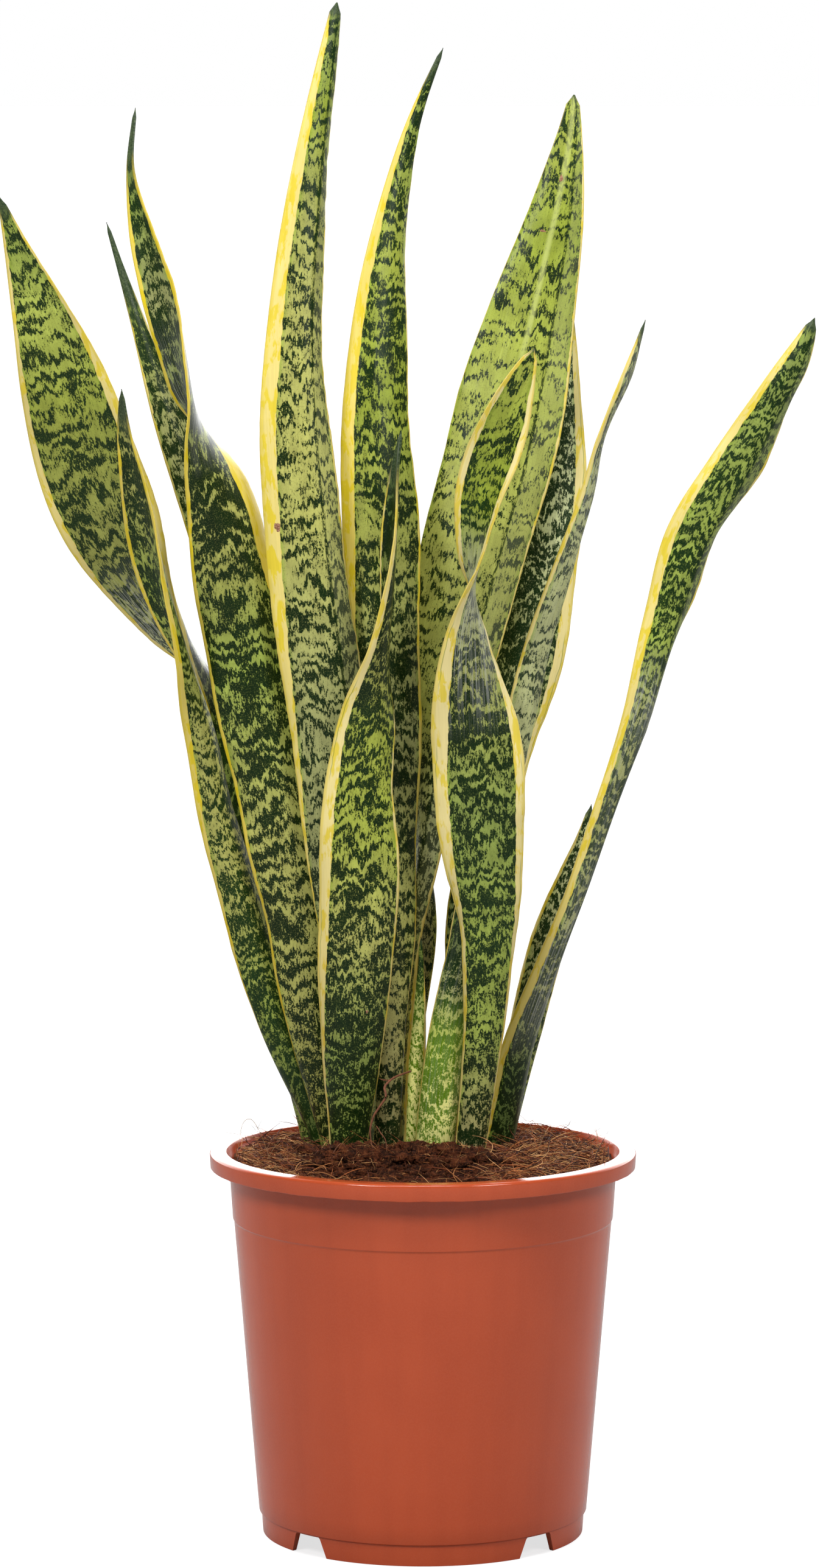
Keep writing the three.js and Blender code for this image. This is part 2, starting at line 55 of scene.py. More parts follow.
# The view that fits the pot's ellipses: the eye's place, its tilt down in degrees, and the focal
# length in picture heights.
EYE = Named(place=(-6.6, -3000, 725), tilt=6.71, focal=10136 / 2576)
SENSOR = 36

POT = Named(
    rim_radius=105,
    mouth_radius=96.8,
    height=192,
    skirt_bottom=184,  # the rim is turned down to here
    skirt_wall=1.8,
    skirt_lean=0.3,
    skirt_edge=0.4,
    rim_wall=2.4,
    rim_round=1.5,
    mouth_round=0.5,
    rim_sag=3,  # how far the rim hangs down at the back
    neck_radius=95.4,
    ring_z=157.5,
    ring_radius=93.7,
    ring_step=0.5,
    line_height=0.7,
    foot_top=11,
    foot_top_radius=81.1,
    foot_step=1.2,
    foot_radius=79.2,
    foot_width=2.6,
    foot_edge=0.35,
    wall=1.6,
    floor=2,
    corner_rise=3,
    corner_run=2,
    sides=288,
    crease=26,  # degrees between facets that don't shade smoothly
)
NOTCH = Named(
    angles=(45, 135, 225, 315),
    top=16.8,
    bottom=23.7,
    roof=0.9,
    corner=0.8,
    inside=6,
    outside=8,
)
DRAIN = Named(radius=5, ring=55, count=6, sides=40, below=4, above=3)

SOIL = Named(
    edge_z=186,
    mound_z=190,
    mound_x=-4,
    mound_y=12,
    mound_radius=62,
    heap_x=-8,
    heap_y=-34,
    heap_width=50,
    heap_depth=15,
    heap_height=7,
    lump_height=2.2,
    lump_size=8,
    crumb_size=2.2,
    clod_size=13,
    rings=150,
    sectors=400,
    wall_gap=0.5,  # from the wall to the soil's upper edge
    edge_depth=4,  # the wall's radius is taken this far below that edge
    side_gap=0.6,  # from the wall to the fill, further down
    bottom_gap=0.3,  # over the pot's floor
    bottom_run=3.5,  # the fill's lower edge is cut back by this much
)
FIBRE = Named(
    count=4600,
    seed=5,
    points=8,
    wall_gap=2,
    bare_x=-8,  # the fewest lie along this line, and their usual share lies this far beside it
    bare_width=54,
    bare_share=0.06,
    lengths=(5, 8, 12, 17, 24),
    stretch=(0.8, 1.2),
    radii=(0.08, 0.11, 0.15, 0.2, 0.26),
    shades=(0.6, 1.15),
    curl=0.09,
    strong_curl=0.35,
    strong_share=0.3,
    wander=0.13,
    lift=(-0.8, 1.6),
    pitch=0.32,
    bend=(0.02, 0.14),
    nod=0.05,
    sunk=0.6,
)
CRUMB = Named(
    count=1300,
    seed=11,
    shape_seed=12,
    detail=2,
    sizes=(0.5, 0.7, 1, 1.4, 2),
    wall_gap=2.5,
    heap_x=(-60, 44),
    heap_y=(-62, -14),
    lift=0.25,
)
CLOD = Named(
    count=420,
    seed=21,
    shape_seed=22,
    detail=3,
    sizes=(1.3, 1.7, 2.2, 2.9, 4),
    stray=5,  # one in so many lies anywhere on the soil
    stray_reach=80,
    stray_sunk=0.2,
    foot_z=190,
    front_y=12,  # the others lie before the leaves whose feet are nearer than this
    beside=9,
    ahead=(6, 42),
    lift=(-0.4, 0.8),
    top=198,
    fibre_seed=23,
    fibre_points=7,
    fibre_radii=(0.08, 0.12, 0.16),
    fibre_shades=(0.7, 1.1),
)

BLADE = Named(
    base_thickness=4.2,
    mid_thickness=3,
    mid_at=0.35,
    tip_thickness=1.3,
    edge_thickness=0.9,
    edge_inset=0.9,  # share of the margin's radius by which the middle surface stops short of it
    edge_slope=0.25,  # a narrow blade is no thicker than its edge and this share of its width
    least_width=1.2,
    least_cup=3,
    ripple_from=230,
    ripple_rise=60,
    ripple_width=30,
    ripple_lag=2.1,
    row=2.5,  # length of a facet along the blade
    columns=28,
    samples=241,  # places across at which the section's bend is summed
    probe=0.5,
    under_soil=14,
    root=21,  # the blade turns from upright to its own lean over this length
    point=5,  # the tip is rounded off over this length, but keeps these shares of its size
    point_width=0.25,
    point_thickness=0.35,
    point_power=0.6,
    fold_width=0.09,  # of a crease, in half widths
    fold_from=250,  # the crease begins at this height, and ends before the tip
    fold_rise=80,
    fold_end=120,
)
# Small waves on both margins, at random for each leaf. A blade narrower than the width has lower ones.
SMALL_WAVES = Named(
    count=10,
    seed=40,
    length=(7, 26),
    start=(0, 6.3),
    height=(0.02, 0.07),
    width=20,
    lag=2,
)
# What the leaves' material is told about each point.
PAINT = Named(
    leaf_step=7.7,  # sets each leaf's noises apart from the others'
    tip_fade=0.55,  # share of the dark point over which it darkens
    low_top=370,  # the skin changes towards the foot below this height
    low_fade=140,
    rib_bottom=540,
    rib_fade=60,
    line_share=0.4,  # a crease that gathers more of the bend than this shows as a line
    no_line=99,
)

# ---------------------------------------------------------------- the leaves' tables


@dataclass
class Leaf:
    """What one leaf is like, from its root to its tip. Heights are above the pot's foot."""

    # Each station gives the midrib's x, y and z, the blade's width measured flat, its turn and its cup.
    # The turn is the direction across the blade in plan, in degrees: at 180 the hollow upper face looks
    # away from the viewer, at 360 towards them. The cup is half of the angle of the section's bend.
    path: list
    # A height, and the width of the yellow band on the side that the turn points to and on the other.
    margins: list
    # A height, the light and the dark green, and how little of the skin is dark. The greens hold painted
    # light: where glare lay the light green is paler, as with ash and mist, and low on some leaves,
    # where shade falls, the greens are darker.
    tones: list
    wave: tuple  # height and length of the ripple along both margins
    bands: float  # spacing of the dark bands
    tip: float  # length of the dark point
    gold: float  # how deep the yellow is
    rib: float = 0  # how strong the painted highlight along the midrib is
    fold: tuple = (0, 0)  # a crease: its place from -1 to 1 across, and its share of the whole bend
    wax: tuple = ((0, 0),)  # a height, and how much painted sheen, a pale highlight in the colour, lies on the skin there


LEAVES = {
    "leaf_far_left": Leaf(
        path=[
            (-48, 29, 150, 14, 170, 75), (-55, 29, 195, 17, 175, 75), (-77, 36, 300, 27, 195, 55),
            (-88, 38, 360, 32, 208, 48), (-96, 39, 405, 38, 238, 42), (-121, 36, 445, 56, 297, 30),
            (-143, 31, 480, 58, 322, 22), (-158, 25, 515, 58, 342, 16), (-174, 10, 565, 45, 354, 14),
            (-186, -2, 605, 28, 358, 14), (-198, -12, 640, 10, 359, 12), (-204, -18, 659, 2, 360, 10),
        ],
        margins=[
            (195, 1.5, 1.5), (300, 2.5, 2), (400, 5, 2.4), (473, 7, 2.6), (494, 7.4, 4),
            (522, 6.6, 3.6), (550, 5.2, 2.7), (578, 3.4, 2), (599, 1.7, 1.5), (620, 0.8, 1.3),
            (640, 0.5, 1), (655, 0, 0),
        ],
        tones=[
            (195, "moss", "forest", 0.47), (400, "moss", "forest", 0.46), (440, "ash", "forest", 0.46),
            (470, "olive", "forest", 0.475), (500, "olive", "forest", 0.484),
            (560, "lime", "forest", 0.5), (600, "spring", "forest", 0.52), (635, "fern", "forest", 0.5),
        ],
        wave=(1.6, 95), bands=8.5, tip=14, gold=0.35,
        wax=[(435, 0), (448, 0.75), (465, 0.4), (485, 0)],
    ),
    "leaf_left_front": Leaf(
        path=[
            (-47.5, 16, 150, 16, 155, 75), (-50.3, 17, 195, 18, 165, 72), (-70, 19, 250, 25, 195, 66),
            (-83, 17, 300, 29, 212, 60), (-97, 11, 350, 26, 222, 55), (-106, 1, 400, 27, 240, 53),
            (-116, -9, 440, 31, 275, 52), (-129, -14, 480, 30, 304, 45), (-138, -22, 521, 19, 316, 42),
            (-143, -27, 546, 10, 318, 36), (-145, -32, 567, 2, 316, 30),
        ],
        margins=[
            (195, 0.5, 2), (250, 0.8, 2), (300, 1.4, 1.6), (400, 3, 1.2), (440, 3.5, 1.4),
            (480, 3, 1.6), (521, 1.8, 1.2), (546, 0.8, 0.6), (560, 0, 0),
        ],
        tones=[
            (195, "deep", "green", 0.41), (260, "fern", "green", 0.445), (320, "straw", "green", 0.48),
            (400, "straw", "forest", 0.49), (470, "fern", "forest", 0.457),
            (520, "straw", "forest", 0.42),
        ],
        wave=(0.8, 80), bands=6, tip=26, gold=0.8,
    ),
    "leaf_left_back": Leaf(
        path=[
            (-34, 25, 150, 14, 170, 75), (-38, 26, 195, 17, 175, 75), (-50, 43, 300, 22, 180, 50),
            (-71, 50, 400, 24, 184, 35), (-105, 54, 499, 28, 190, 30), (-124, 62, 548, 20, 195, 25),
            (-142, 70, 598, 8, 200, 30), (-150, 73, 622, 4, 203, 30), (-157, 76, 644, 1.6, 205, 30),
        ],
        margins=[
            (195, 0.8, 0.8), (400, 0.6, 1), (499, 0.9, 1.6), (548, 0.9, 2), (598, 0.4, 1.3),
            (625, 0, 0),
        ],
        tones=[
            (195, "moss", "ink", 0.42), (400, "moss", "ink", 0.45), (500, "ash", "forest", 0.49),
            (560, "sage", "forest", 0.475), (590, "fern", "forest", 0.41),
        ],
        wave=(0.8, 90), bands=6.5, tip=62, gold=0.4, fold=(0.2, 0.3),
    ),
    "leaf_left_twisted": Leaf(
        path=[
            (-42.2, 9, 150, 13, 180, 75), (-44, 9.5, 195, 18, 182, 72), (-53, 7, 248, 30, 185, 55),
            (-57, 6, 300, 42, 188, 42), (-66, 5, 350, 45, 190, 37), (-77, 4, 400, 45, 192, 34),
            (-90, 0, 470, 44, 200, 26), (-96, -3, 510, 43, 220, 24), (-106, -4, 540, 38, 248, 26),
            (-114, -4, 565, 32, 288, 30), (-120, -3, 588, 27, 308, 32), (-129, 4, 618, 21, 322, 30),
            (-136, 9, 642, 15, 330, 28), (-142, 15, 672, 5, 320, 30), (-140, 22, 701, 2, 320, 30),
        ],
        margins=[
            (195, 1, 1), (300, 1.8, 1.2), (400, 1.6, 1.5), (450, 1.3, 5), (485, 1.2, 9), (520, 1.4, 11),
            (540, 1.5, 7), (552, 1.6, 2.2), (588, 1.8, 1.6), (618, 1.7, 1.8), (642, 1.5, 1.6),
            (672, 0.5, 0.5), (685, 0, 0),
        ],
        tones=[
            (195, "olive", "ink", 0.424), (260, "straw", "ink", 0.478), (350, "straw", "ink", 0.479),
            (430, "fern", "ink", 0.458), (470, "olive", "ink", 0.494), (505, "straw", "ink", 0.42),
            (560, "moss", "ink", 0.43), (610, "sage", "forest", 0.466), (650, "moss", "forest", 0.45),
        ],
        wave=(1.2, 70), bands=9, tip=45, gold=1,
        wax=[(525, 0), (545, 0.3), (565, 0.4), (590, 0.2), (602, 0)],
    ),
    "leaf_tallest": Leaf(
        path=[
            (-29, 3, 150, 12, 180, 72), (-31, 3, 195, 17, 180, 70), (-32, -5, 248, 28, 181, 57),
            (-34, -10, 300, 38, 184, 45), (-45, -11, 400, 42, 188, 38), (-57, -8, 500, 41, 194, 34),
            (-60, -4, 540, 38, 198, 33), (-60.5, 4, 590, 31, 204, 33), (-55, 18, 659, 22, 210, 33),
            (-47, 31, 719, 12, 208, 30), (-42, 38, 752, 5, 205, 20),
        ],
        margins=[
            (195, 0.5, 0.6), (283, 0.6, 0.7), (328, 0.9, 0.8), (350, 1.8, 0.9), (378, 3.2, 1),
            (418, 5, 1), (455, 7, 1.1), (500, 8.5, 1.2), (590, 7.6, 1.1), (659, 6, 0.7), (700, 4, 0.4),
            (735, 2, 0.2), (748, 0, 0),
        ],
        tones=[
            (195, "sage", "ink", 0.46), (300, "sage", "ink", 0.475), (400, "sage", "ink", 0.487),
            (500, "straw", "ink", 0.53), (600, "straw", "ink", 0.512), (660, "olive", "forest", 0.51),
            (700, "grass", "forest", 0.505), (730, "moss", "forest", 0.48),
        ],
        wave=(0.8, 110), bands=7.5, tip=10, gold=0.5, fold=(-0.45, 0.42),
    ),
    "leaf_tall_centre": Leaf(
        path=[
            (-17, 11, 150, 14, 180, 80), (-18.5, 10, 195, 19, 180, 80), (-17.5, 6, 248, 22, 181, 62),
            (-17, 5, 300, 30, 183, 48), (-18, 5, 350, 35, 185, 42), (-18, 7, 400, 38, 186, 38),
            (-19, 9, 450, 39, 187, 34), (-20, 14, 500, 40, 190, 32), (-22, 25, 559, 35, 195, 32),
            (-19, 37, 609, 27, 202, 32), (-14, 47, 649, 18, 207, 32), (-4, 58, 694, 8, 212, 30),
            (10, 67, 730, 2, 215, 30),
        ],
        margins=[
            (195, 1, 0.8), (300, 3, 1), (400, 4.5, 1.8), (450, 5.5, 1.7), (500, 6.5, 1),
            (559, 6.5, 0.7), (609, 5, 0.6), (649, 3.5, 0.5), (685, 2, 0.3), (712, 0, 0),
        ],
        tones=[
            (195, "taupe", "ink", 0.471), (300, "straw", "ink", 0.461), (400, "sage", "ink", 0.424),
            (480, "olive", "ink", 0.486), (560, "grass", "ink", 0.49), (640, "lime", "forest", 0.512),
            (690, "fern", "forest", 0.44),
        ],
        wave=(0.8, 100), bands=7.5, tip=22, gold=0.8,
    ),
    "leaf_front_centre": Leaf(
        path=[
            (-36.5, -5, 150, 18, 180, 60), (-36.6, -8, 195, 22.4, 180, 56),
            (-35.3, -13, 230, 31.2, 180, 50), (-34, -17, 265, 37, 180, 43),
            (-32, -19, 300, 41, 181, 38), (-31, -19, 340, 41, 183, 36), (-30, -18, 375, 36, 190, 36),
            (-25, -17, 405, 33, 210, 38), (-18, -18, 440, 28, 250, 42), (-15, -20, 471, 24, 278, 46),
            (-14, -22, 501, 16, 295, 48), (-13, -24, 526, 8, 300, 40), (-10.5, -26, 547, 2, 300, 30),
        ],
        margins=[
            (195, 2, 1), (230, 2.2, 1.1), (265, 4, 1.2), (300, 6, 1.4), (340, 7, 1.5), (375, 6.5, 1.4),
            (405, 4.5, 1.2), (440, 3.2, 1), (471, 2.6, 0.9), (501, 2, 0.8), (526, 1.2, 0.5),
            (540, 0, 0),
        ],
        tones=[
            (195, "moss", "ink", 0.42), (240, "moss", "ink", 0.426), (300, "straw", "ink", 0.468),
            (350, "lime", "ink", 0.498), (400, "lime", "forest", 0.48), (440, "straw", "ink", 0.42),
            (500, "deep", "ink", 0.396),
        ],
        wave=(0.8, 75), bands=7, tip=38, gold=0.1,
    ),
    "leaf_broad_right": Leaf(
        path=[
            (-8, 24, 150, 17, 72, 75), (-10.5, 24, 195, 19, 66, 75), (-9, 26.5, 245, 24, 68, 72),
            (-6, 29, 290, 31, 80, 68), (-4.5, 29, 325, 35, 112, 58), (-3.5, 27, 360, 41, 145, 45),
            (4, 27, 405, 49, 169, 33), (16, 32, 450, 52, 176, 27), (29, 38, 499, 55, 179, 22),
            (36, 42, 524, 56, 180, 20), (43, 48, 554, 55, 180, 17), (54, 57, 599, 44, 181, 15),
            (67, 67, 654, 26, 182, 12), (73, 74, 689, 12, 183, 9), (75, 77, 707, 5, 184, 8),
        ],
        margins=[(195, 0.3, 0.5), (400, 0.15, 0.7), (554, 0.15, 1), (650, 0.15, 0.8), (700, 0.1, 0.2)],
        tones=[
            (195, "taupe", "ink", 0.5), (270, "taupe", "ink", 0.48), (340, "ash", "ink", 0.494),
            (400, "olive", "ink", 0.52), (480, "olive", "ink", 0.548), (580, "lime", "ink", 0.56),
            (640, "grass", "ink", 0.54), (690, "lime", "forest", 0.5),
        ],
        wave=(1.0, 120), bands=7.5, tip=3, gold=0.3, rib=1, fold=(-0.5, 0.45),
    ),
    "leaf_right_back": Leaf(
        path=[
            (7, 18, 150, 15, 180, 75), (8, 19, 195, 18, 181, 70), (20, 25, 260, 24, 182, 58),
            (26, 30, 310, 28, 183, 48), (36, 38, 370, 31, 184, 36), (50.5, 47, 424, 37, 184, 30),
            (59, 56, 479, 39, 182, 25), (64, 65, 528, 35, 181, 22), (69, 73, 573, 18, 180, 18),
            (73, 79, 603, 3, 180, 15),
        ],
        margins=[
            (195, 0.8, 1), (310, 1, 2.5), (370, 1, 4), (424, 1, 5.5), (479, 1, 6), (528, 1, 5.5),
            (573, 0.8, 3), (590, 0.4, 1.5), (600, 0, 0),
        ],
        tones=[
            (195, "moss", "ink", 0.42), (400, "ash", "forest", 0.45), (440, "ash", "forest", 0.44),
            (500, "mist", "forest", 0.45), (560, "mist", "forest", 0.44),
        ],
        wave=(1.4, 85), bands=6, tip=16, gold=0,
    ),
    "leaf_right_twisted": Leaf(
        path=[
            (24, -3, 150, 16, 180, 62), (23.8, -5, 195, 18, 180, 58), (27.5, -6, 228, 20, 180, 50),
            (30.5, -8, 260, 23, 180, 42), (32, -12, 300, 30, 180, 35), (30, -16, 330, 39, 180, 32),
            (28, -19, 360, 46, 180, 30), (26, -20, 400, 45, 188, 30), (24, -23, 432, 37, 214, 32),
            (24, -26, 463, 29, 254, 35), (26, -29, 491, 26, 302, 37), (29, -32, 516, 28, 331, 36),
            (36, -36, 541, 27, 346, 33), (45, -41, 567, 18, 355, 29), (53, -46, 587, 4, 360, 20),
        ],
        margins=[
            (195, 1.8, 1.4), (260, 2, 1.6), (300, 2.8, 2.4), (330, 5.5, 4), (360, 8, 5.5),
            (400, 8.5, 5.5), (432, 7, 4), (463, 4.2, 3), (491, 3.6, 3), (541, 3, 3), (567, 2.2, 2.2),
            (581, 0.8, 0.8),
        ],
        tones=[
            (195, "taupe", "ink", 0.47), (250, "fern", "ink", 0.486), (300, "fern", "forest", 0.475),
            (360, "moss", "ink", 0.478), (420, "olive", "ink", 0.45), (470, "ash", "forest", 0.534),
            (510, "grass", "green", 0.51), (540, "grass", "ink", 0.525), (575, "lime", "forest", 0.54),
        ],
        wave=(0.9, 70), bands=7, tip=3, gold=0,
        wax=[(395, 0), (435, 0.45), (465, 0.7), (488, 0.3), (500, 0)],
    ),
    "leaf_right_narrow": Leaf(
        path=[
            (4.6, 3, 150, 17, 175, 60), (5.8, 2, 195, 21, 176, 42), (11.4, 2, 240, 21.5, 180, 44),
            (20, 3, 280, 22, 188, 50), (30, 5, 325, 22, 195, 50), (47, 9, 395, 18, 202, 45),
            (58, 13, 440, 16, 208, 42), (71, 18, 480, 13, 218, 36), (82, 24, 514, 11, 232, 32),
            (88, 28, 539, 11, 252, 30), (102, 36, 572, 10, 242, 30), (109.5, 44, 597, 2, 255, 30),
        ],
        margins=[
            (195, 0.8, 0.5), (325, 0.8, 0.6), (395, 1.2, 0.7), (440, 1.4, 0.8), (480, 1.6, 0.8),
            (539, 1.8, 1), (574, 1.4, 0.7), (590, 0, 0),
        ],
        tones=[
            (195, "butter", "vivid", 0.52), (215, "butter", "vivid", 0.46),
            (245, "spring", "vivid", 0.43), (270, "sage", "green", 0.48), (300, "deep", "ink", 0.42),
            (350, "sage", "ink", 0.5), (400, "ash", "forest", 0.54), (480, "ash", "slate", 0.53),
            (560, "ash", "slate", 0.47),
        ],
        wave=(0.6, 60), bands=6.5, tip=14, gold=0.2,
        wax=[(470, 0.1), (520, 0.5), (560, 0.5), (590, 0.2)],
    ),
    "leaf_right_leaning": Leaf(
        path=[
            (38.6, 22, 150, 18, 205, 72), (40.3, 22, 195, 21, 208, 60), (49.8, 21, 240, 21, 211, 56),
            (64, 19, 280, 16, 215, 62), (77, 16, 315, 14, 220, 58), (91, 15, 355, 15, 222, 54),
            (108, 15, 404, 19, 220, 50), (122, 18, 453, 26, 214, 46), (134, 22, 488, 31, 211, 43),
            (154, 28, 522, 31, 210, 40), (171, 35, 552, 24, 209, 36), (185, 41, 578, 16, 207, 30),
            (193, 46, 598, 3, 205, 20),
        ],
        margins=[
            (195, 3.4, 1), (240, 3.8, 1.1), (280, 3.6, 1.2), (315, 3.2, 1.3), (355, 3, 1.4),
            (404, 3.4, 1.5), (440, 4.4, 2), (470, 5.4, 2.6), (500, 5, 2.4), (522, 4.2, 2),
            (554, 3.6, 1.4), (582, 2.4, 0.8), (595, 0, 0),
        ],
        tones=[
            (195, "deep", "ink", 0.42), (225, "deep", "ink", 0.415), (260, "sage", "slate", 0.41),
            (330, "sage", "slate", 0.45), (400, "sage", "slate", 0.47), (440, "fern", "forest", 0.48),
            (500, "fern", "forest", 0.488), (560, "moss", "forest", 0.5),
        ],
        wave=(1.6, 75), bands=5.5, tip=10, gold=0.45, fold=(-0.35, 0.42),
        wax=[(232, 0), (255, 0.35), (300, 0.4), (340, 0.1), (385, 0.2), (410, 0.45), (440, 0)],
    ),
    "leaf_right_short": Leaf(
        path=[
            (39, 37, 150, 12, 185, 60), (41, 37, 195, 14, 185, 55), (54, 40, 255, 19, 182, 45),
            (63, 43, 290, 19, 180, 38), (73, 46, 317, 15, 180, 32), (81, 49, 341, 8, 180, 25),
            (84, 51, 356, 2, 180, 20),
        ],
        margins=[(195, 1, 0.6), (255, 1.8, 0.6), (317, 1.6, 0.6), (341, 1, 0.4), (352, 0, 0)],
        tones=[
            (195, "fern", "green", 0.44), (260, "sage", "forest", 0.48), (340, "mist", "forest", 0.466),
        ],
        wave=(0.4, 60), bands=5, tip=9, gold=0.3,
    ),
    "leaf_young": Leaf(
        path=[
            (-5.6, 11, 150, 6, 185, 40), (-5.4, 10.5, 195, 7, 185, 40), (-2.8, 10, 235, 9, 188, 35),
            (-1.5, 10, 262, 6.5, 190, 35), (-1, 10, 280, 3.5, 195, 30), (-1, 10, 295, 1.8, 195, 20),
        ],
        margins=[(195, 0.5, 1), (235, 0.6, 1.6), (262, 0.5, 1.4), (285, 0, 0)],
        tones=[
            (195, "butter", "vivid", 0.57), (240, "butter", "vivid", 0.5), (280, "moss", "green", 0.42),
        ],
        wave=(0, 60), bands=5, tip=5, gold=0.2,
    ),
}

# The greens of the leaves in sRGB, from 0 to 255. Ash and mist, where the tones use them, partly stand
# in for glare, a painted highlight.
GREENS = {
    "lime": (164, 174, 72), "grass": (146, 160, 56), "spring": (188, 200, 92),
    "olive": (158, 162, 82), "straw": (180, 180, 98), "sage": (162, 165, 106),
    "taupe": (166, 158, 106), "moss": (138, 154, 76), "fern": (152, 168, 76),
    "deep": (96, 116, 60), "ash": (186, 190, 134), "mist": (212, 218, 168),
    "butter": (228, 226, 138), "forest": (21, 45, 13), "ink": (15, 37, 7),
    "slate": (58, 70, 50), "green": (22, 50, 12), "vivid": (88, 124, 6),
}

# ---------------------------------------------------------------- small tools


def mix(a, b, t):
    return a + (b - a) * t


def clamp(t):
    return np.clip(t, 0, 1)


def polar(radius, angle):
    return radius * math.cos(angle), radius * math.sin(angle)


def unit(vectors):
    return vectors / np.linalg.norm(vectors, axis=-1, keepdims=True)


def at_heights(table, column, z):
    """A column of a table whose first column is the height, at each height z."""
    return np.interp(z, [row[0] for row in table], [row[column] for row in table])


def linear(colour):
    """An sRGB colour from 0 to 255 as linear red, green and blue."""
    c = np.asarray(colour, float) / 255
    return np.where(c <= 0.04045, c / 12.92, ((c + 0.055) / 1.055) ** 2.4)


def to_frame(points):
    """Points in millimetres from the pot's axis, in the frame's metres."""
    return (np.asarray(points, float) + (POT_X, 0, 0)) * MM


def add_object(name, data):
    made = bpy.data.objects.new(name, data)
    bpy.context.scene.collection.objects.link(made)
    return made


def mesh_of(name, points, faces):
    mesh = bpy.data.meshes.new(name)
    mesh.from_pydata(to_frame(points).tolist(), [], faces)
    return mesh


def new_piece(name, points, faces, material, nodes=()):
    """A smooth mesh piece that rides with the part."""
    mesh = mesh_of(name, points, faces)
    mesh.polygons.foreach_set("use_smooth", [True] * len(mesh.polygons))
    mesh.materials.append(material)
    mesh.update()
    piece = add_object(name, mesh)
    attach(piece, "root")
    if nodes:
        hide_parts(*nodes)
    return piece


def paint(piece, name, x, y, z):
    """Keeps a vector for each vertex, for the piece's material to read."""
    values = np.stack(np.broadcast_arrays(x, y, z), axis=1)
    attribute = piece.data.attributes.new(name, "FLOAT_VECTOR", "POINT")
    attribute.data.foreach_set("vector", values.astype(np.float32).ravel())


def joined(rings, sides, start=0, flipped=False):
    """Four-sided faces between rings of points that follow each other from the start."""
    faces = []
    for low in range(start, start + (rings - 1) * sides, sides):
        for k in range(sides):
            m = (k + 1) % sides
            a, b, c, d = low + k, low + m, low + sides + m, low + sides + k
            faces.append((a, d, c, b) if flipped else (a, b, c, d))
    return faces


def lids(rings, sides, start=0):
    """A face over the first ring and one over the last, which both look outward."""
    last = start + (rings - 1) * sides
    return [tuple(range(start, start + sides))[::-1], tuple(range(last, last + sides))]


# ---------------------------------------------------------------- materials


class Nodes:
    """A node tree, with one short call for each kind of node. Lengths are millimetres."""

    def __init__(self, tree):
        self.tree = tree

    def put(self, socket, value):
        """Gives a socket a link, a colour from 0 to 255 or a plain value."""
        if isinstance(value, bpy.types.NodeSocket):
            self.tree.links.new(value, socket)
        elif socket.type == "RGBA":
            socket.default_value = (*linear(value), 1)
        else:
            socket.default_value = value

    def node(self, kind, output, inputs, **settings):
        """The named output of a new node with these inputs and settings."""
        made = self.tree.nodes.new("ShaderNode" + kind)
        for key, value in settings.items():
            setattr(made, key, value)
        for key, value in inputs.items():
            self.put(made.inputs[key], value)
        return made.outputs[output]

    def attribute(self, name):
        return self.node("Attribute", "Vector", {}, attribute_name=name)

    def parts(self, vector):
        return self.node("SeparateXYZ", 0, {0: vector}).node.outputs

    def vector(self, x, y, z):
        return self.node("CombineXYZ", 0, {0: x, 1: y, 2: z})

    def math(self, operation, a, b=0.0):
        return self.node("Math", 0, {0: a, 1: b}, operation=operation)

    def add(self, *terms):
        total = terms[0]
        for term in terms[1:]:
            total = self.math("ADD", total, term)
        return total

    def minus(self, a, b):
        return self.math("SUBTRACT", a, b)

    def times(self, a, b):
        return self.math("MULTIPLY", a, b)

    def over(self, a, b):
        return self.math("DIVIDE", a, b)

    def size(self, a):
        return self.math("ABSOLUTE", a)

    def scaled(self, vector, factor):
        return self.node("VectorMath", 0, {0: vector, "Scale": factor}, operation="SCALE")

    def place(self):
        """The point on the surface in millimetres."""
        return self.scaled(self.node("NewGeometry", "Position", {}), 1 / MM)

    def off(self, noise_value):
        """A noise as a departure from its middle value."""
        return self.minus(noise_value, 0.5)

    def noise(self, vector, detail=1.0, roughness=0.5):
        inputs = {"Vector": vector, "Scale": 1, "Detail": detail, "Roughness": roughness}
        return self.node("TexNoise", "Fac", inputs)

    def grain(self, vector, sizes, detail, roughness=0.5, shift=(0, 0, 0)):
        """A noise whose features come out in the given sizes."""
        scale = [1 / size for size in sizes]
        stretched = self.node("Mapping", 0, {"Vector": vector, "Scale": scale, "Location": shift})
        return self.noise(stretched, detail, roughness)

    def step(self, value, low, high, to_low=0.0, to_high=1.0):
        """Rises smoothly from to_low to to_high as the value goes from low to high."""
        inputs = dict(enumerate((value, low, high, to_low, to_high)))
        return self.node("MapRange", 0, inputs, interpolation_type="SMOOTHSTEP")

    def blend(self, share, a, b):
        """Colour a, or colour b where the share is 1."""
        return self.node("Mix", 2, {"Factor": share, 6: a, 7: b}, data_type="RGBA")

    def seen(self, lit, shown):
        """One strength for the light that the scene gets, and another for what the viewer sees."""
        ray = self.node("LightPath", "Is Camera Ray", {})
        return self.node("Mix", 0, {0: ray, 2: lit, 3: shown})

    def bump(self, height, depth, below=None):
        """A bump of so many millimetres, on top of another."""
        inputs = {"Strength": 1, "Distance": depth * MM, "Height": height}
        if below is not None:
            inputs["Normal"] = below
        return self.node("Bump", 0, inputs)


class Skin(Nodes):
    """A material, with the same short calls for its nodes."""

    def __init__(self, name):
        self.material = bpy.data.materials.new(name)
        self.material.use_nodes = True
        super().__init__(self.material.node_tree)
        self.shader = self.tree.nodes["Principled BSDF"]

    def finish(self, **inputs):
        """Fills in the shader. An underscore in a name stands for a space."""
        for name, value in inputs.items():
            self.put(self.shader.inputs[name.replace("_", " ")], value)
        return self.material


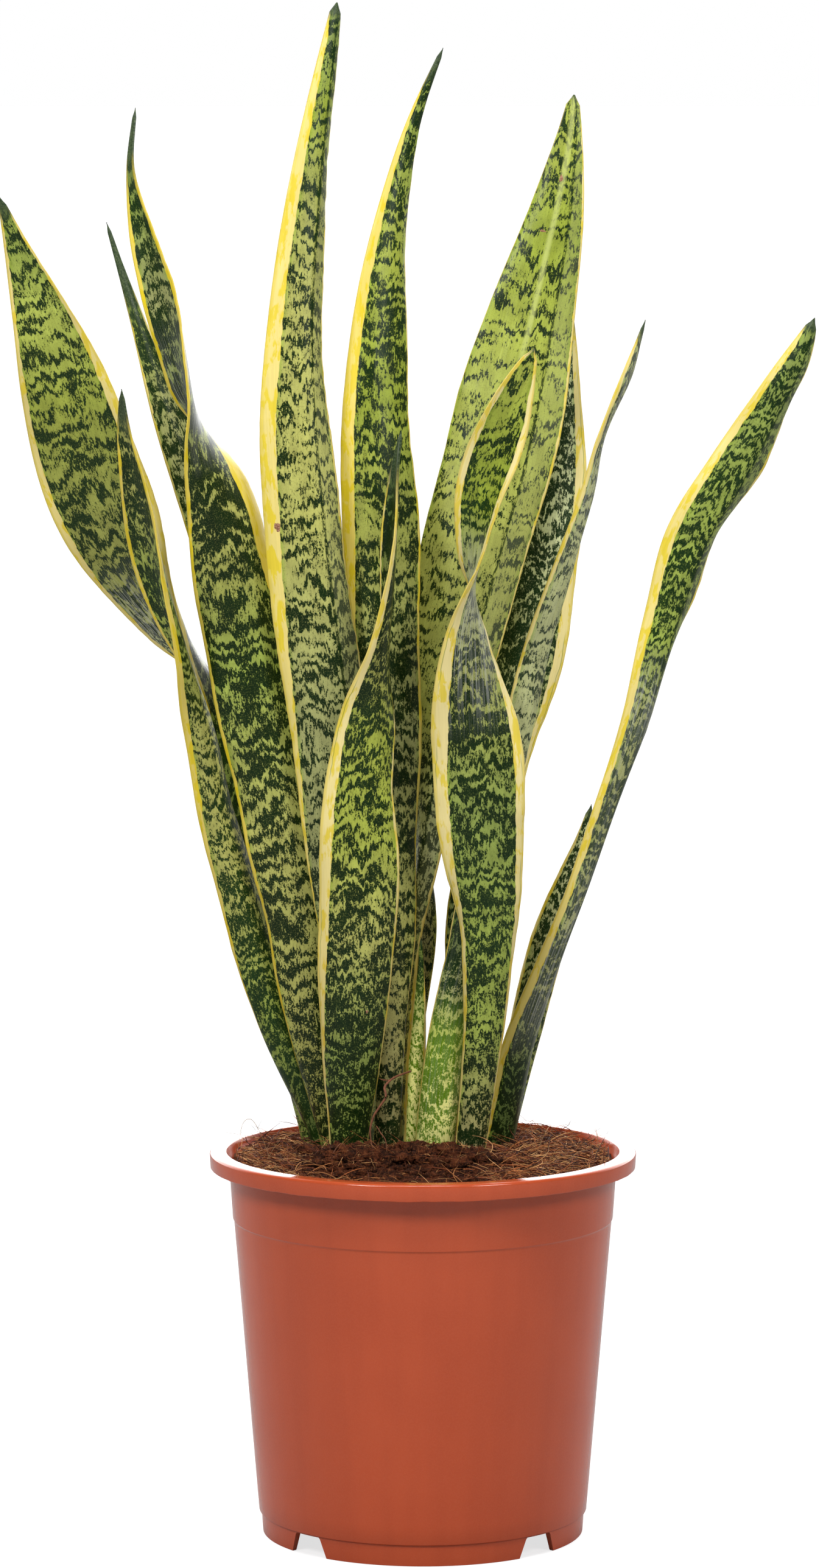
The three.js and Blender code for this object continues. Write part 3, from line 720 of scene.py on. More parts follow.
# Colours in sRGB, from 0 to 255.
HUES = Named(
    by_margin=(140, 164, 44),
    # a painted highlight along the midrib
    rib=(196, 204, 122),
    # a painted glare past the crease
    past_crease=(164, 168, 132),
    # painted sheen, a pale highlight in the leaves' colour
    wax=(206, 208, 202),
    cream=(232, 216, 150),
    gold_cream=(218, 196, 84),
    low_cream=(176, 158, 60),
    ochre=(224, 200, 62),
    gold_ochre=(214, 190, 20),
    low_ochre=(164, 130, 34),
    margin_line=(104, 124, 44),
    rim=(190, 164, 84),
    tip=(44, 60, 38),
    tip_fleck=(84, 98, 66),
    pot=(184, 75, 39),
    pot_cloud=(190, 79, 42),
    pot_flow=(174, 69, 36),
    pot_grain=(196, 91, 54),
    soil=(44, 21, 12),
    soil_lump=(96, 50, 28),
    soil_crumb=(140, 82, 46),
    # painted shade in the gaps between crumbs
    soil_gap=(20, 10, 6),
    soil_thread=(156, 100, 58),
    rhizome=(206, 140, 78),
    rhizome_ring=(228, 178, 118),
    rhizome_stain=(120, 74, 44),
    scar=(118, 76, 54),
    scar_grain=(176, 134, 106),
    stage=(160, 160, 160),
    white=(255, 255, 255),
)
COIR_TINTS = [(166, 94, 48), (122, 60, 30), (186, 120, 66), (92, 44, 22), (206, 152, 96), (60, 28, 15)]
ROOT_TINT = linear((122, 76, 52))
HAIR_TINT = linear((196, 158, 112)) * 0.7


def leaf_skin():
    """Dark feathered cross bands on light green, a yellow band along each margin, and a dark tip."""
    s = Skin("leaf_skin")
    place = s.attribute("leaf_place")
    across, along, number = s.parts(place)
    edge, margin, bands = s.parts(s.attribute("leaf_edge"))
    level, tip, low = s.parts(s.attribute("leaf_mood"))
    # How deep the yellow is, how strong the painted sheen is, and how strong the painted highlight along
    # the midrib is.
    gold, wax, rib = s.parts(s.attribute("leaf_gold_and_highlights"))
    seam = s.parts(s.attribute("leaf_seam"))[0]
    light, dark = s.attribute("leaf_light"), s.attribute("leaf_dark")

    def grain(wide, tall, seed, detail=2, roughness=0.5):
        """A noise with spots of this size on the leaf. The seed sets it apart from the others."""
        return s.grain(place, (wide, tall, 1), detail, roughness, (0, 0, seed))

    # The bands run across the leaf in zigzags, and their rims are feathered along its fibres.
    zigzag = s.off(grain(13, 40, 0, 1))
    jag = s.off(grain(3.4, 15, 11, 1))
    streak = s.off(s.grain(place, (1.4, 6.5, 1), 3, 0.62, (3, 0, 5)))
    moved = s.add(along, s.times(zigzag, 24), s.times(jag, 11), s.times(streak, 11))
    wander = s.off(grain(60, 34, 13, 1))
    steady = s.math("SINE", s.add(s.times(s.over(moved, bands), 5.6), s.times(wander, 22)))
    wave = s.vector(s.times(across, 1 / 13), s.over(moved, s.times(bands, 0.54)), number)
    band = s.off(s.noise(wave, 1))
    patch = s.off(grain(16, 30, 17, 1))
    slit = s.off(grain(1.0, 4.2, 23, 3, 0.66))
    speck = s.off(grain(0.75, 1.05, 29, 2, 0.65))
    steady = s.times(steady, s.step(bands, 4.5, 7, 0.09, 0.062))
    coarse = s.add(steady, s.times(band, 0.5), s.times(patch, 0.15), -0.01)
    fine = s.add(s.times(slit, 0.5), s.times(speck, s.add(s.times(low, 0.3), 0.3)))
    above = s.add(coarse, fine, s.minus(0.5, level))
    cover = s.step(above, -0.02, 0.02)

    # Light green is mottled, and darkens a little towards the bands. Both greens are finely speckled.
    mottle = s.step(grain(6, 13, 41), 0.3, 0.7, 0.82, 1.04)
    shade = s.times(mottle, s.step(grain(0.8, 30, 53), 0.3, 0.7, 0.93, 1.05))
    dots = grain(0.6, 0.75, 57, 2, 0.6)
    pale = s.blend(s.step(s.minus(edge, margin), 0, 2.4, 0.5, 0), light, HUES.by_margin)
    middle = s.scaled(s.blend(0.5, light, dark), 0.9)
    pale = s.blend(s.step(above, -0.1, 0, 0, 0.36), pale, middle)
    pale = s.blend(s.step(dots, 0.34, 0.47, 0.36, 0), pale, middle)
    deep = s.blend(s.step(dots, 0.52, 0.64, 0, 0.32), dark, middle)
    green = s.scaled(s.blend(cover, pale, deep), shade)

    # A painted highlight along the midrib, a dotted dark line along the crease, and a greyer strip
    # beyond it, which is a painted glare.
    beside_rib = s.size(s.add(across, s.times(zigzag, 2)))
    green = s.blend(s.times(s.step(beside_rib, 0.3, 2.3, 0.55, 0), rib), green, HUES.rib)
    dotted = s.step(grain(0.9, 2.6, 109), 0.4, 0.5)
    green = s.blend(s.times(s.step(s.size(seam), 0.3, 1.0, 0.9, 0), dotted), green, dark)
    # Past the crease the green turns greyer: a painted glare.
    green = s.blend(s.step(seam, -1.4, -0.4, 0.12, 0), green, HUES.past_crease)

    # Painted sheen: pale streaks painted into the colour where the skin showed glare, a painted
    # highlight.
    painted_sheen_streaks = s.step(grain(0.55, 50, 113, 3, 0.6), 0.42, 0.7)
    green = s.blend(s.times(painted_sheen_streaks, wax), green, HUES.wax)

    # The yellow band: pale, with stronger patches and a strong outer strip.
    patches = s.noise(s.vector(s.times(across, 1 / 5), s.times(moved, 1 / 13), number), 2, 0.6)
    strong = s.step(s.add(patches, s.times(streak, 0.5)), 0.5, 0.6, 0, 0.9)
    wobble = grain(90, 11, 67)
    fibres = grain(0.7, 16, 61)
    outer = s.step(s.over(edge, s.add(margin, 0.01)), 0.14, 0.3, 0.55, 0)
    strong = s.math("MAXIMUM", strong, s.times(outer, s.step(fibres, 0.3, 0.7, 0.75, 1)))
    cream = s.blend(s.times(low, 0.5), s.blend(gold, HUES.cream, HUES.gold_cream), HUES.low_cream)
    ochre = s.blend(s.times(low, 0.5), s.blend(gold, HUES.ochre, HUES.gold_ochre), HUES.low_ochre)
    yellow = s.blend(strong, cream, ochre)

    # A thin green line runs along a wide and pale band here and there, and its rim is a little browner.
    off_line = s.size(s.minus(edge, s.times(margin, s.step(wobble, 0.3, 0.7, 0.2, 0.34))))
    shown = s.step(grain(200, 55, 71, 1), 0.48, 0.54)
    shown = s.times(shown, s.times(s.step(margin, 2.6, 3.6), s.step(gold, 0.1, 0.4, 1, 0)))
    yellow = s.blend(s.times(s.step(off_line, 0.1, 0.28, 0.6, 0), shown), yellow, HUES.margin_line)
    yellow = s.blend(s.step(edge, 0.05, 0.3, 0.3, 0), yellow, HUES.rim)
    yellow = s.scaled(yellow, s.step(fibres, 0.3, 0.7, 0.97, 1.03))
    ragged = s.add(margin, s.times(s.off(wobble), 1.6), s.times(streak, 1.6))
    ragged = s.times(ragged, s.step(margin, 0.05, 0.5))
    colour = s.blend(s.step(s.minus(ragged, edge), -0.14, 0.18), green, yellow)

    # The tip turns dark grey-green.
    colour = s.blend(tip, colour, s.blend(s.step(speck, -0.12, 0.2), HUES.tip, HUES.tip_fleck))

    swell, ribs, pores = grain(9, 24, 101, 1), grain(0.9, 60, 83), grain(0.6, 0.9, 97)
    return s.finish(
        Base_Color=colour,
        Roughness=s.step(grain(3, 20, 5), 0.3, 0.7, 0.28, 0.44),
        Normal=s.bump(pores, 0.035, s.bump(ribs, 0.07, s.bump(swell, 0.45))),
        Specular_IOR_Level=0.19,
    )


def pot_skin():
    """Moulded terracotta-brown plastic: satin, finely grained and clouded, with faint flow marks."""
    s = Skin("pot_plastic")
    place = s.place()
    flow = s.grain(place, (9, 9, 180), 2)
    cloud = s.grain(place, (60, 60, 45), 2, shift=(5, 0, 0))
    grain = s.grain(place, (0.9, 0.9, 0.9), 2)
    colour = s.blend(s.step(cloud, 0.3, 0.7), HUES.pot, HUES.pot_cloud)
    colour = s.blend(s.step(flow, 0.35, 0.7, 0, 0.3), colour, HUES.pot_flow)
    colour = s.blend(s.step(grain, 0.35, 0.7, 0, 0.2), colour, HUES.pot_grain)
    return s.finish(
        Base_Color=colour,
        Roughness=s.step(s.grain(place, (25, 25, 12), 3), 0.3, 0.7, 0.1, 0.17),
        Normal=s.bump(grain, 0.015, s.bump(flow, 0.05, s.bump(cloud, 0.2))),
        Specular_IOR_Level=0.45,
    )


def soil_skin():
    """Dark matted coir and peat."""
    s = Skin("soil")
    place = s.place()
    lumps = s.grain(place, (6, 6, 6), 4, 0.6)
    fine = s.grain(place, (1.3, 1.3, 1.3), 4, 0.7)
    threads = s.grain(place, (0.5, 5, 1.5), 3)
    colour = s.blend(s.step(lumps, 0.38, 0.64), HUES.soil, HUES.soil_lump)
    colour = s.blend(s.step(fine, 0.52, 0.74, 0, 0.75), colour, HUES.soil_crumb)
    # The darkest spots are painted shade, standing in for the gaps between crumbs.
    colour = s.blend(s.step(fine, 0.3, 0.46, 0.85, 0), colour, HUES.soil_gap)
    colour = s.blend(s.step(threads, 0.58, 0.66, 0, 0.4), colour, HUES.soil_thread)
    normal = s.bump(threads, 0.5, s.bump(fine, 1.6))
    return s.finish(Base_Color=colour, Roughness=0.95, Normal=normal, Specular_IOR_Level=0.15)


def fibre_skin():
    """Dry coir fibres and roots, each in its own tint."""
    s = Skin("coir_fibre")
    along = s.grain(s.place(), (1.5, 1.5, 1.5), 2)
    colour = s.scaled(s.attribute("fibre_tint"), s.step(along, 0.3, 0.7, 0.72, 1.15))
    return s.finish(Base_Color=colour, Roughness=0.75, Normal=s.bump(along, 0.1), Specular_IOR_Level=0.3)


def root_skin():
    """The rhizome's pale orange-tan skin, ringed where old scales stood."""
    s = Skin("rhizome_skin")
    place = s.place()
    rings = s.grain(place, (9, 9, 2.5), 2)
    colour = s.blend(s.step(rings, 0.4, 0.6), HUES.rhizome, HUES.rhizome_ring)
    stain = s.grain(place, (3, 3, 3), 3)
    colour = s.blend(s.step(stain, 0.5, 0.7, 0, 0.7), colour, HUES.rhizome_stain)
    return s.finish(Base_Color=colour, Roughness=0.65, Normal=s.bump(rings, 0.4), Specular_IOR_Level=0.3)


def scar_skin():
    """Dry corky scabs on the leaves."""
    s = Skin("leaf_scar")
    grain = s.grain(s.place(), (0.6, 0.6, 0.6), 2)
    colour = s.blend(s.step(grain, 0.35, 0.65), HUES.scar, HUES.scar_grain)
    return s.finish(Base_Color=colour, Roughness=0.8, Normal=s.bump(grain, 0.2), Specular_IOR_Level=0.2)


LEAF_SKIN = leaf_skin()
POT_SKIN = pot_skin()
SOIL_SKIN = soil_skin()
FIBRE_SKIN = fibre_skin()
SCAR_SKIN = scar_skin()

# ---------------------------------------------------------------- leaves


def station_distances(path):
    """Distances from the root to each station, along the midrib."""
    steps = np.linalg.norm(np.diff(np.array(path, float)[:, :3], axis=0), axis=1)
    return np.concatenate([[0], np.cumsum(steps)])


def path_at(path, distances, d):
    """Every column of the path at each distance: a cubic through the stations, smooth across them."""
    rows = np.array(path, float)
    gaps = np.diff(distances)
    slopes = np.diff(rows, axis=0) / gaps[:, None]
    tangents = np.empty_like(rows)
    tangents[0], tangents[-1] = slopes[0], slopes[-1]
    before, after = gaps[:-1, None], gaps[1:, None]
    tangents[1:-1] = (slopes[:-1] * after + slopes[1:] * before) / (before + after)
    i = np.clip(np.searchsorted(distances, d, side="left") - 1, 0, len(gaps) - 1)
    h = gaps[i][:, None]
    t = ((d - distances[i]) / gaps[i])[:, None]
    return (
        (1 + 2 * t) * (1 - t) ** 2 * rows[i]
        + t * (1 - t) ** 2 * h * tangents[i]
        + t * t * (3 - 2 * t) * rows[i + 1]
        + t * t * (t - 1) * h * tangents[i + 1]
    )


def rooted(path):
    """The path with one more station under the soil, so that the leaf goes into it at its own lean."""
    root, base, above = (np.array(station, float) for station in path[:3])
    under = base - (above - base) * (BLADE.under_soil / (above[2] - base[2]))
    under[3:] = mix(base[3:], root[3:], BLADE.under_soil / (base[2] - root[2]))
    return [root, under, base, *path[2:]]


def mid_thickness(share, width):
    """Thickness of the blade over its midrib, thinning from root to tip."""
    b = BLADE
    lower = mix(b.base_thickness, b.mid_thickness, clamp(share / b.mid_at))
    full = mix(lower, b.tip_thickness, clamp((share - b.mid_at) / (1 - b.mid_at)))
    return np.minimum(full, b.edge_thickness + b.edge_slope * width)


def section_angles(s, half, at, share):
    """The skin's angle to the chord at each place across, with part of the bend gathered in a crease."""
    crease = np.tanh((s - at) / BLADE.fold_width)
    crease = crease - (crease.max() + crease.min()) / 2
    return half * ((1 - share) * s + share * crease / crease.max())


def summed(values, at):
    """The running integral of the values."""
    return np.concatenate([[0], np.cumsum((values[1:] + values[:-1]) / 2 * np.diff(at))])


class Blade:
    """The middle surface of a leaf on a grid of rows along it and columns across it.

    d is the distance along the midrib, and s the place across, from -1 to 1. The normal points out of
    the hollow upper face.
    """

    def __init__(self, facts, number):
        b = BLADE
        path, (wave_height, wave_length) = rooted(facts.path), facts.wave
        distances = station_distances(path)
        self.length = distances[-1]
        self.d = np.linspace(0, self.length, int(self.length / b.row) + 1)
        table = path_at(path, distances, self.d)
        ahead = path_at(path, distances, np.minimum(self.length, self.d + b.probe))
        behind = path_at(path, distances, np.maximum(0, self.d - b.probe))
        lean = clamp(self.d / b.root)[:, None]
        tangent = unit(mix(np.array([[0, 0, 1.0]]), unit(ahead[:, :3] - behind[:, :3]), lean))
        turn = np.radians(table[:, 4])
        across = np.stack([np.cos(turn), np.sin(turn), 0 * turn], axis=1)
        across = unit(across - (across * tangent).sum(1, keepdims=True) * tangent)
        inward = np.cross(across, tangent)
        self.z = table[:, 2]
        point = clamp((self.length - self.d) / b.point) ** b.point_power
        self.width = np.maximum(table[:, 3], b.least_width) * np.maximum(point, b.point_width)
        half = np.radians(np.maximum(table[:, 5], b.least_cup))
        flat = self.width / 2 - b.edge_thickness / 2 * b.edge_inset
        self.s = np.linspace(-1, 1, b.columns + 1)
        fine = np.linspace(-1, 1, b.samples)
        rise = clamp((self.z - b.ripple_from) / b.ripple_rise)
        ripple = wave_height * rise * clamp(self.width / b.ripple_width)
        to_tip = clamp((self.length - self.d) / b.fold_end)
        fold = facts.fold[1] * clamp((self.z - b.fold_from) / b.fold_rise) * to_tip
        w = SMALL_WAVES
        rng = np.random.default_rng(w.seed + number)
        waves = [[rng.uniform(*span) for span in (w.length, w.start, w.height)] for _ in range(w.count)]
        self.middle = np.empty((len(self.d), len(self.s), 3))
        self.normal = np.empty_like(self.middle)
        self.along_edge = np.empty_like(self.middle)
        for i, d in enumerate(self.d):
            angles = section_angles(fine, half[i], facts.fold[0], fold[i])
            x, y = summed(np.cos(angles), fine), summed(np.sin(angles), fine)
            x -= (x[0] + x[-1]) / 2
            y -= y.min()
            xs = np.interp(self.s, fine, x) * flat[i]
            ys = np.interp(self.s, fine, y) * flat[i]
            angle = np.interp(self.s, fine, angles)
            cos, sin = np.cos(angle)[:, None], np.sin(angle)[:, None]
            self.normal[i] = inward[i] * cos - across[i] * sin
            self.along_edge[i] = across[i] * cos + inward[i] * sin
            phase = 2 * np.pi * d / wave_length + np.where(self.s > 0, 0, b.ripple_lag)
            lift = ripple[i] * np.sin(phase) * np.abs(self.s) ** 3
            small = 0
            for period, start, size in waves:
                small = small + size * np.sin(2 * np.pi * d / period + start + w.lag * (self.s > 0))
            lift = lift + small * rise[i] * np.abs(self.s) ** 5 * clamp(self.width[i] / w.width)
            self.middle[i] = table[i, :3] + xs[:, None] * across[i] + ys[:, None] * inward[i]
            self.middle[i] += lift[:, None] * self.normal[i]
        thick = mid_thickness(self.d / self.length, self.width)[:, None]
        round_part = np.sqrt(1 - self.s**2)[None, :]
        whole = mix(b.edge_thickness, thick, round_part)
        self.thickness = whole * np.maximum(point, b.point_thickness)[:, None]

    def at(self, z, s):
        """The point on the lower face at height z and place s, and the ways out of it and across."""
        i, j = np.argmin(np.abs(self.z - z)), np.argmin(np.abs(self.s - s))
        out = -self.normal[i, j]
        return self.middle[i, j] + out * self.thickness[i, j] / 2, out, self.along_edge[i, j]

    def rim(self, j, way):
        """Three lines that round the margin at column j."""
        radius = self.thickness[:, j][:, None] / 2
        turns = [polar(1, math.radians(turn)) for turn in (50, 0, -50)]
        normal, along = self.normal[:, j], self.along_edge[:, j] * way
        return [self.middle[:, j] + normal * radius * up + along * radius * out for out, up in turns]


def leaf_faces(rows, columns, ring):
    """Sides between the rings, and both ends filled with strips and two rounded corners."""
    faces = joined(rows, ring)
    for i, turned_over in ((0, True), (rows - 1, False)):
        low = i * ring
        for a in range(low, low + columns - 1):
            far = 2 * low + 2 * columns + 2 - a
            faces.append((a, far, far - 1, a + 1) if turned_over else (a, a + 1, far - 1, far))
        top = low + columns - 1
        near = (top, top + 4, top + 3, top + 2, top + 1)
        away = (low, low + ring - 1, low + ring - 2, low + ring - 3, low + ring - 4)
        faces.append(near if turned_over else near[::-1])
        faces.append(away[::-1] if turned_over else away)
    return faces


def leaf(name, number):
    """One leaf as a closed skin with rounded margins, painted with what its material needs."""
    facts = LEAVES[name]
    blade = Blade(facts, number)
    rows, columns = blade.middle.shape[:2]
    half = blade.thickness[..., None] / 2
    upper = blade.middle + blade.normal * half
    lower = blade.middle - blade.normal * half
    loop = [upper[:, j] for j in range(columns)] + blade.rim(columns - 1, 1)
    loop += [lower[:, j] for j in range(columns - 1, -1, -1)] + blade.rim(0, -1)[::-1]
    ring = len(loop)
    points = np.stack(loop, axis=1).reshape(-1, 3)
    piece = new_piece(name + "_skin", points, leaf_faces(rows, columns, ring), LEAF_SKIN, [name])

    d, z = np.repeat(blade.d, ring), np.repeat(blade.z, ring)
    s = np.tile(np.concatenate([blade.s, [1] * 3, blade.s[::-1], [-1] * 3]), rows)
    half_width = np.repeat(blade.width, ring) / 2
    band = np.where(s > 0, at_heights(facts.margins, 1, z), at_heights(facts.margins, 2, z))
    tip = clamp((d - (blade.length - facts.tip)) / (PAINT.tip_fade * facts.tip))
    low = clamp((PAINT.low_top - z) / PAINT.low_fade)
    # The painted highlight along the midrib shows from rib_bottom up.
    rib = facts.rib * clamp((z - PAINT.rib_bottom) / PAINT.rib_fade)
    seam = (s - facts.fold[0]) * half_width if facts.fold[1] > PAINT.line_share else PAINT.no_line
    paint(piece, "leaf_place", s * half_width, d, PAINT.leaf_step * number)
    paint(piece, "leaf_edge", (1 - np.abs(s)) * half_width, band, facts.bands)
    paint(piece, "leaf_mood", at_heights(facts.tones, 3, z), tip, low)
    # How deep the yellow is, and how strong the painted sheen and the painted highlight along the midrib
    # are.
    paint(piece, "leaf_gold_and_highlights", facts.gold, at_heights(facts.wax, 1, z), rib)
    paint(piece, "leaf_seam", seam + 0 * d, 0, 0)
    for column, green in ((1, "leaf_light"), (2, "leaf_dark")):
        colours = [(t[0], *linear(GREENS[t[column]])) for t in facts.tones]
        paint(piece, green, *(at_heights(colours, channel, z) for channel in (1, 2, 3)))
    return blade


BLADES = {name: leaf(name, number) for number, name in enumerate(LEAVES)}

# ---------------------------------------------------------------- pot


def body_radius(z):
    """Outer radius of the pot's tapered body."""
    p = POT
    if z < p.ring_z:
        t = (z - p.foot_top) / (p.ring_z - p.foot_top)
        return mix(p.foot_top_radius, p.ring_radius - p.ring_step, t)
    return mix(p.ring_radius, p.neck_radius, (z - p.ring_z) / (p.skirt_bottom - p.ring_z))


def inner_radius(z):
    return body_radius(z) - POT.wall


def arc(corner, radius, start, end, count=6):
    """Points round an arc of the section, from one angle to another in degrees."""
    turns = np.radians(np.linspace(start, end, count))
    return [(corner[0] + x, corner[1] + y) for x, y in (polar(radius, t) for t in turns)]


def pot_section():
    """The pot's section from the middle of its floor's underside, up the outside and down the inside."""
    p = POT
    middle = 0.01
    foot_inside = p.foot_radius - p.foot_width
    floor_top = p.foot_top + p.floor
    skirt_inside = p.rim_radius - p.skirt_wall
    under_rim = p.height - p.rim_wall
    line_z = p.ring_z - p.line_height
    mouth = inner_radius(p.skirt_bottom)
    soft, edge, rim, lip = p.foot_edge, p.skirt_edge, p.rim_round, p.mouth_round
    section = [(middle, p.foot_top), (foot_inside, p.foot_top)]
    section += [(foot_inside, soft), (foot_inside + soft, 0)]
    section += arc((p.foot_radius - soft, soft), soft, -90, 0, 4)
    section += [
        (p.foot_top_radius - p.foot_step, p.foot_top - p.line_height),
        (p.foot_top_radius - 0.15, p.foot_top - 0.1),
        (p.foot_top_radius, p.foot_top + 0.25),
    ]
    body = [*np.linspace(20, line_z - 4, 9), line_z - 1, line_z - 0.15]
    section += [(body_radius(z), z) for z in body]
    section += [(p.ring_radius - p.ring_step, line_z), (p.ring_radius, p.ring_z)]
    section += [(body_radius(z), z) for z in (p.ring_z + 0.2, p.ring_z + 1.2)]
    section += [(p.neck_radius - 0.3, p.skirt_bottom - 5), (p.neck_radius, p.skirt_bottom)]
    # From the neck out to the rim's underside, and down the inside of the rim.
    for share, z in (
        (0.1, p.skirt_bottom + 1.2),
        (0.32, p.skirt_bottom + 3.2),
        (0.45, under_rim - 0.4),
        (0.55, under_rim),
    ):
        section.append((mix(p.neck_radius, skirt_inside, share), z))
    section += [(skirt_inside - 0.5, under_rim), (skirt_inside, under_rim - 0.5)]
    section += [(skirt_inside, p.skirt_bottom + 0.3), (skirt_inside + 0.3, p.skirt_bottom)]
    section += arc((p.rim_radius - p.skirt_lean - edge, p.skirt_bottom + edge), edge, -90, 0, 4)
    section += arc((p.rim_radius - rim, p.height - rim), rim, 0, 90, 8)
    section += [(mix(p.mouth_radius + rim, p.rim_radius - rim, t), p.height) for t in (0.7, 0.3)]
    section += arc((p.mouth_radius + lip, p.height - lip), lip, 90, 165, 5)
    for share, z in ((0.9, p.height - 2.6), (0.62, p.height - 5), (0.2, p.skirt_bottom + 0.6)):
        section.append((mix(mouth, p.mouth_radius, share), z))
    section.append((mouth, p.skirt_bottom - 2))
    section += [(inner_radius(z), z) for z in (line_z, floor_top + p.corner_rise)]
    return section + [(inner_radius(floor_top) - p.corner_run, floor_top), (middle, floor_top)]


def cutter(points, faces):
    mesh = mesh_of("cutter", points, faces)
    made = bmesh.new()
    made.from_mesh(mesh)
    bmesh.ops.recalc_face_normals(made, faces=made.faces)
    made.to_mesh(mesh)
    made.free()
    return add_object("cutter", mesh)


def notch_cutter(angle):
    """A gap through the foot ring, wider at the floor."""
    low, high, corner = NOTCH.bottom / 2, NOTCH.top / 2, NOTCH.corner
    roof = POT.foot_top - NOTCH.roof
    half = [(low, -1), (low, 0), (high, roof - corner), (high - corner, roof)]
    outline = [(-low, -1)] + half + [(-x, z) for x, z in half[:0:-1]]
    (cos, sin), count = polar(1, math.radians(angle)), len(outline)
    points = [
        (r * cos - x * sin, r * sin + x * cos, z)
        for r in (POT.foot_radius - NOTCH.inside, POT.foot_radius + NOTCH.outside)
        for x, z in outline
    ]
    return cutter(points, [face[::-1] for face in lids(2, count)] + joined(2, count))


def drain_cutter(x, y):
    turns = [2 * math.pi * k / DRAIN.sides for k in range(DRAIN.sides)]
    heights = (POT.foot_top - DRAIN.below, POT.foot_top + POT.floor + DRAIN.above)
    ring = [polar(DRAIN.radius, t) for t in turns]
    points = [(x + dx, y + dy, z) for z in heights for dx, dy in ring]
    return cutter(points, lids(2, DRAIN.sides) + joined(2, DRAIN.sides))


def moulded(x, y, z):
    """The point as on the real pot: a thin uneven edge under the rim, which hangs lowest at the back."""
    p = POT
    if z < p.skirt_bottom + 0.5 and math.hypot(x, y) > p.rim_radius - 1.5:
        way = Vector((x, y, 0)) / 9
        z = z - 0.2 - 0.35 * max(0, noise.noise(way)) - 0.18 * noise.noise(way * 4)
    high = clamp((z - p.ring_z) / (p.height - p.ring_z))
    return x, y, z - p.rim_sag * high * (0.5 + 0.5 * y / p.rim_radius)


def pot():
    """The section turned round the upright axis, with its notches and drainage holes cut."""
    section, sides = pot_section(), POT.sides
    angles = np.linspace(0, 2 * np.pi, sides, endpoint=False)
    points = [moulded(*polar(r, a), z) for r, z in section for a in angles]
    faces = joined(len(section), sides) + lids(len(section), sides)
    piece = new_piece("pot_shell", points, faces, POT_SKIN, ["pot"])
    tools = [notch_cutter(angle) for angle in NOTCH.angles] + [drain_cutter(0, 0)]
    for k in range(DRAIN.count):
        tools.append(drain_cutter(*polar(DRAIN.ring, 2 * math.pi * k / DRAIN.count)))
    for tool in tools:
        cut = piece.modifiers.new("cut", "BOOLEAN")
        cut.operation, cut.solver, cut.object = "DIFFERENCE", "EXACT", tool
    graph = bpy.context.evaluated_depsgraph_get()
    mesh = bpy.data.meshes.new_from_object(piece.evaluated_get(graph))
    piece.modifiers.clear()
    piece.data = mesh
    for tool in tools:
        bpy.data.objects.remove(tool)
    mesh.polygons.foreach_set("use_smooth", [True] * len(mesh.polygons))
    mesh.set_sharp_from_angle(angle=math.radians(POT.crease))


pot()

# ---------------------------------------------------------------- soil


def turbulence(x, y, size, seed, detail=3):
    return noise.fractal(Vector((x / size, y / size, seed)), 0.9, 2.1, detail)


def soil_z(x, y):
    """Height of the soil: a mound round the leaves and a heap before them, all lumps and crumbs."""
    s = SOIL
    away = math.hypot(x - s.mound_x, y - s.mound_y) / s.mound_radius
    mound = (s.mound_z - s.edge_z) * math.exp(-(away**3))
    beside, ahead = (x - s.heap_x) / s.heap_width, (y - s.heap_y) / s.heap_depth
    clods = 0.45 + 0.9 * turbulence(x, y, s.clod_size, 3.1, 2)
    heap = s.heap_height * max(0, clods) * math.exp(-(beside**6) - ahead**2)
    lumps = turbulence(x, y, s.lump_size, 8.2) * s.lump_height
    return s.edge_z + mound + heap + lumps + turbulence(x, y, s.crumb_size, 1.4)


def soil():
    """The fill of the pot: a rough top, a side that follows the wall and a flat bottom on the floor."""
    s = SOIL
    edge = inner_radius(s.edge_z - s.edge_depth) - s.wall_gap
    bottom = POT.foot_top + POT.floor + s.bottom_gap
    corner = bottom + POT.corner_rise
    line_z = POT.ring_z - POT.line_height
    turns = np.linspace(0, 2 * np.pi, s.sectors, endpoint=False)
    rings = [edge * math.sqrt((i + 0.4) / s.rings) for i in range(s.rings)] + [edge]
    flat = [polar(r, a) for r in rings for a in turns]
    points = [(x, y, soil_z(x, y)) for x, y in flat]
    below = [(inner_radius(z) - s.side_gap, z) for z in (line_z, corner)]
    below.append((inner_radius(bottom) - s.bottom_run, bottom))
    points += [(*polar(r, a), z) for r, z in below for a in turns]
    count = len(rings) + len(below)
    faces = joined(count, s.sectors, flipped=True) + [face[::-1] for face in lids(count, s.sectors)]
    new_piece("soil_fill", points, faces, SOIL_SKIN, ["soil"])


def tubes(name, strands, sides):
    """Thin round strands in one mesh. A strand is its points, its thickest radius and its tint."""
    points, faces, tints = [], [], []
    for line, radius, tint in strands:
        line = np.asarray(line, float)
        heading = unit(np.gradient(line, axis=0) + 1e-6)
        side = unit(np.cross(heading, (0.31, 0.22, 0.92)) + 1e-6)
        other = np.cross(heading, side)
        faces += joined(len(line), sides, len(points)) + lids(len(line), sides, len(points))
        for i, point in enumerate(line):
            share = i / (len(line) - 1)
            r = radius * (0.35 + 0.65 * math.sin(math.pi * min(1, 0.15 + share)) ** 0.5)
            for k in range(sides):
                t = 2 * math.pi * k / sides
                points.append(point + side[i] * r * math.cos(t) + other[i] * r * math.sin(t))
                tints.append(tint)
    piece = new_piece(name, np.array(points), faces, FIBRE_SKIN)
    paint(piece, "fibre_tint", *np.array(tints).T)


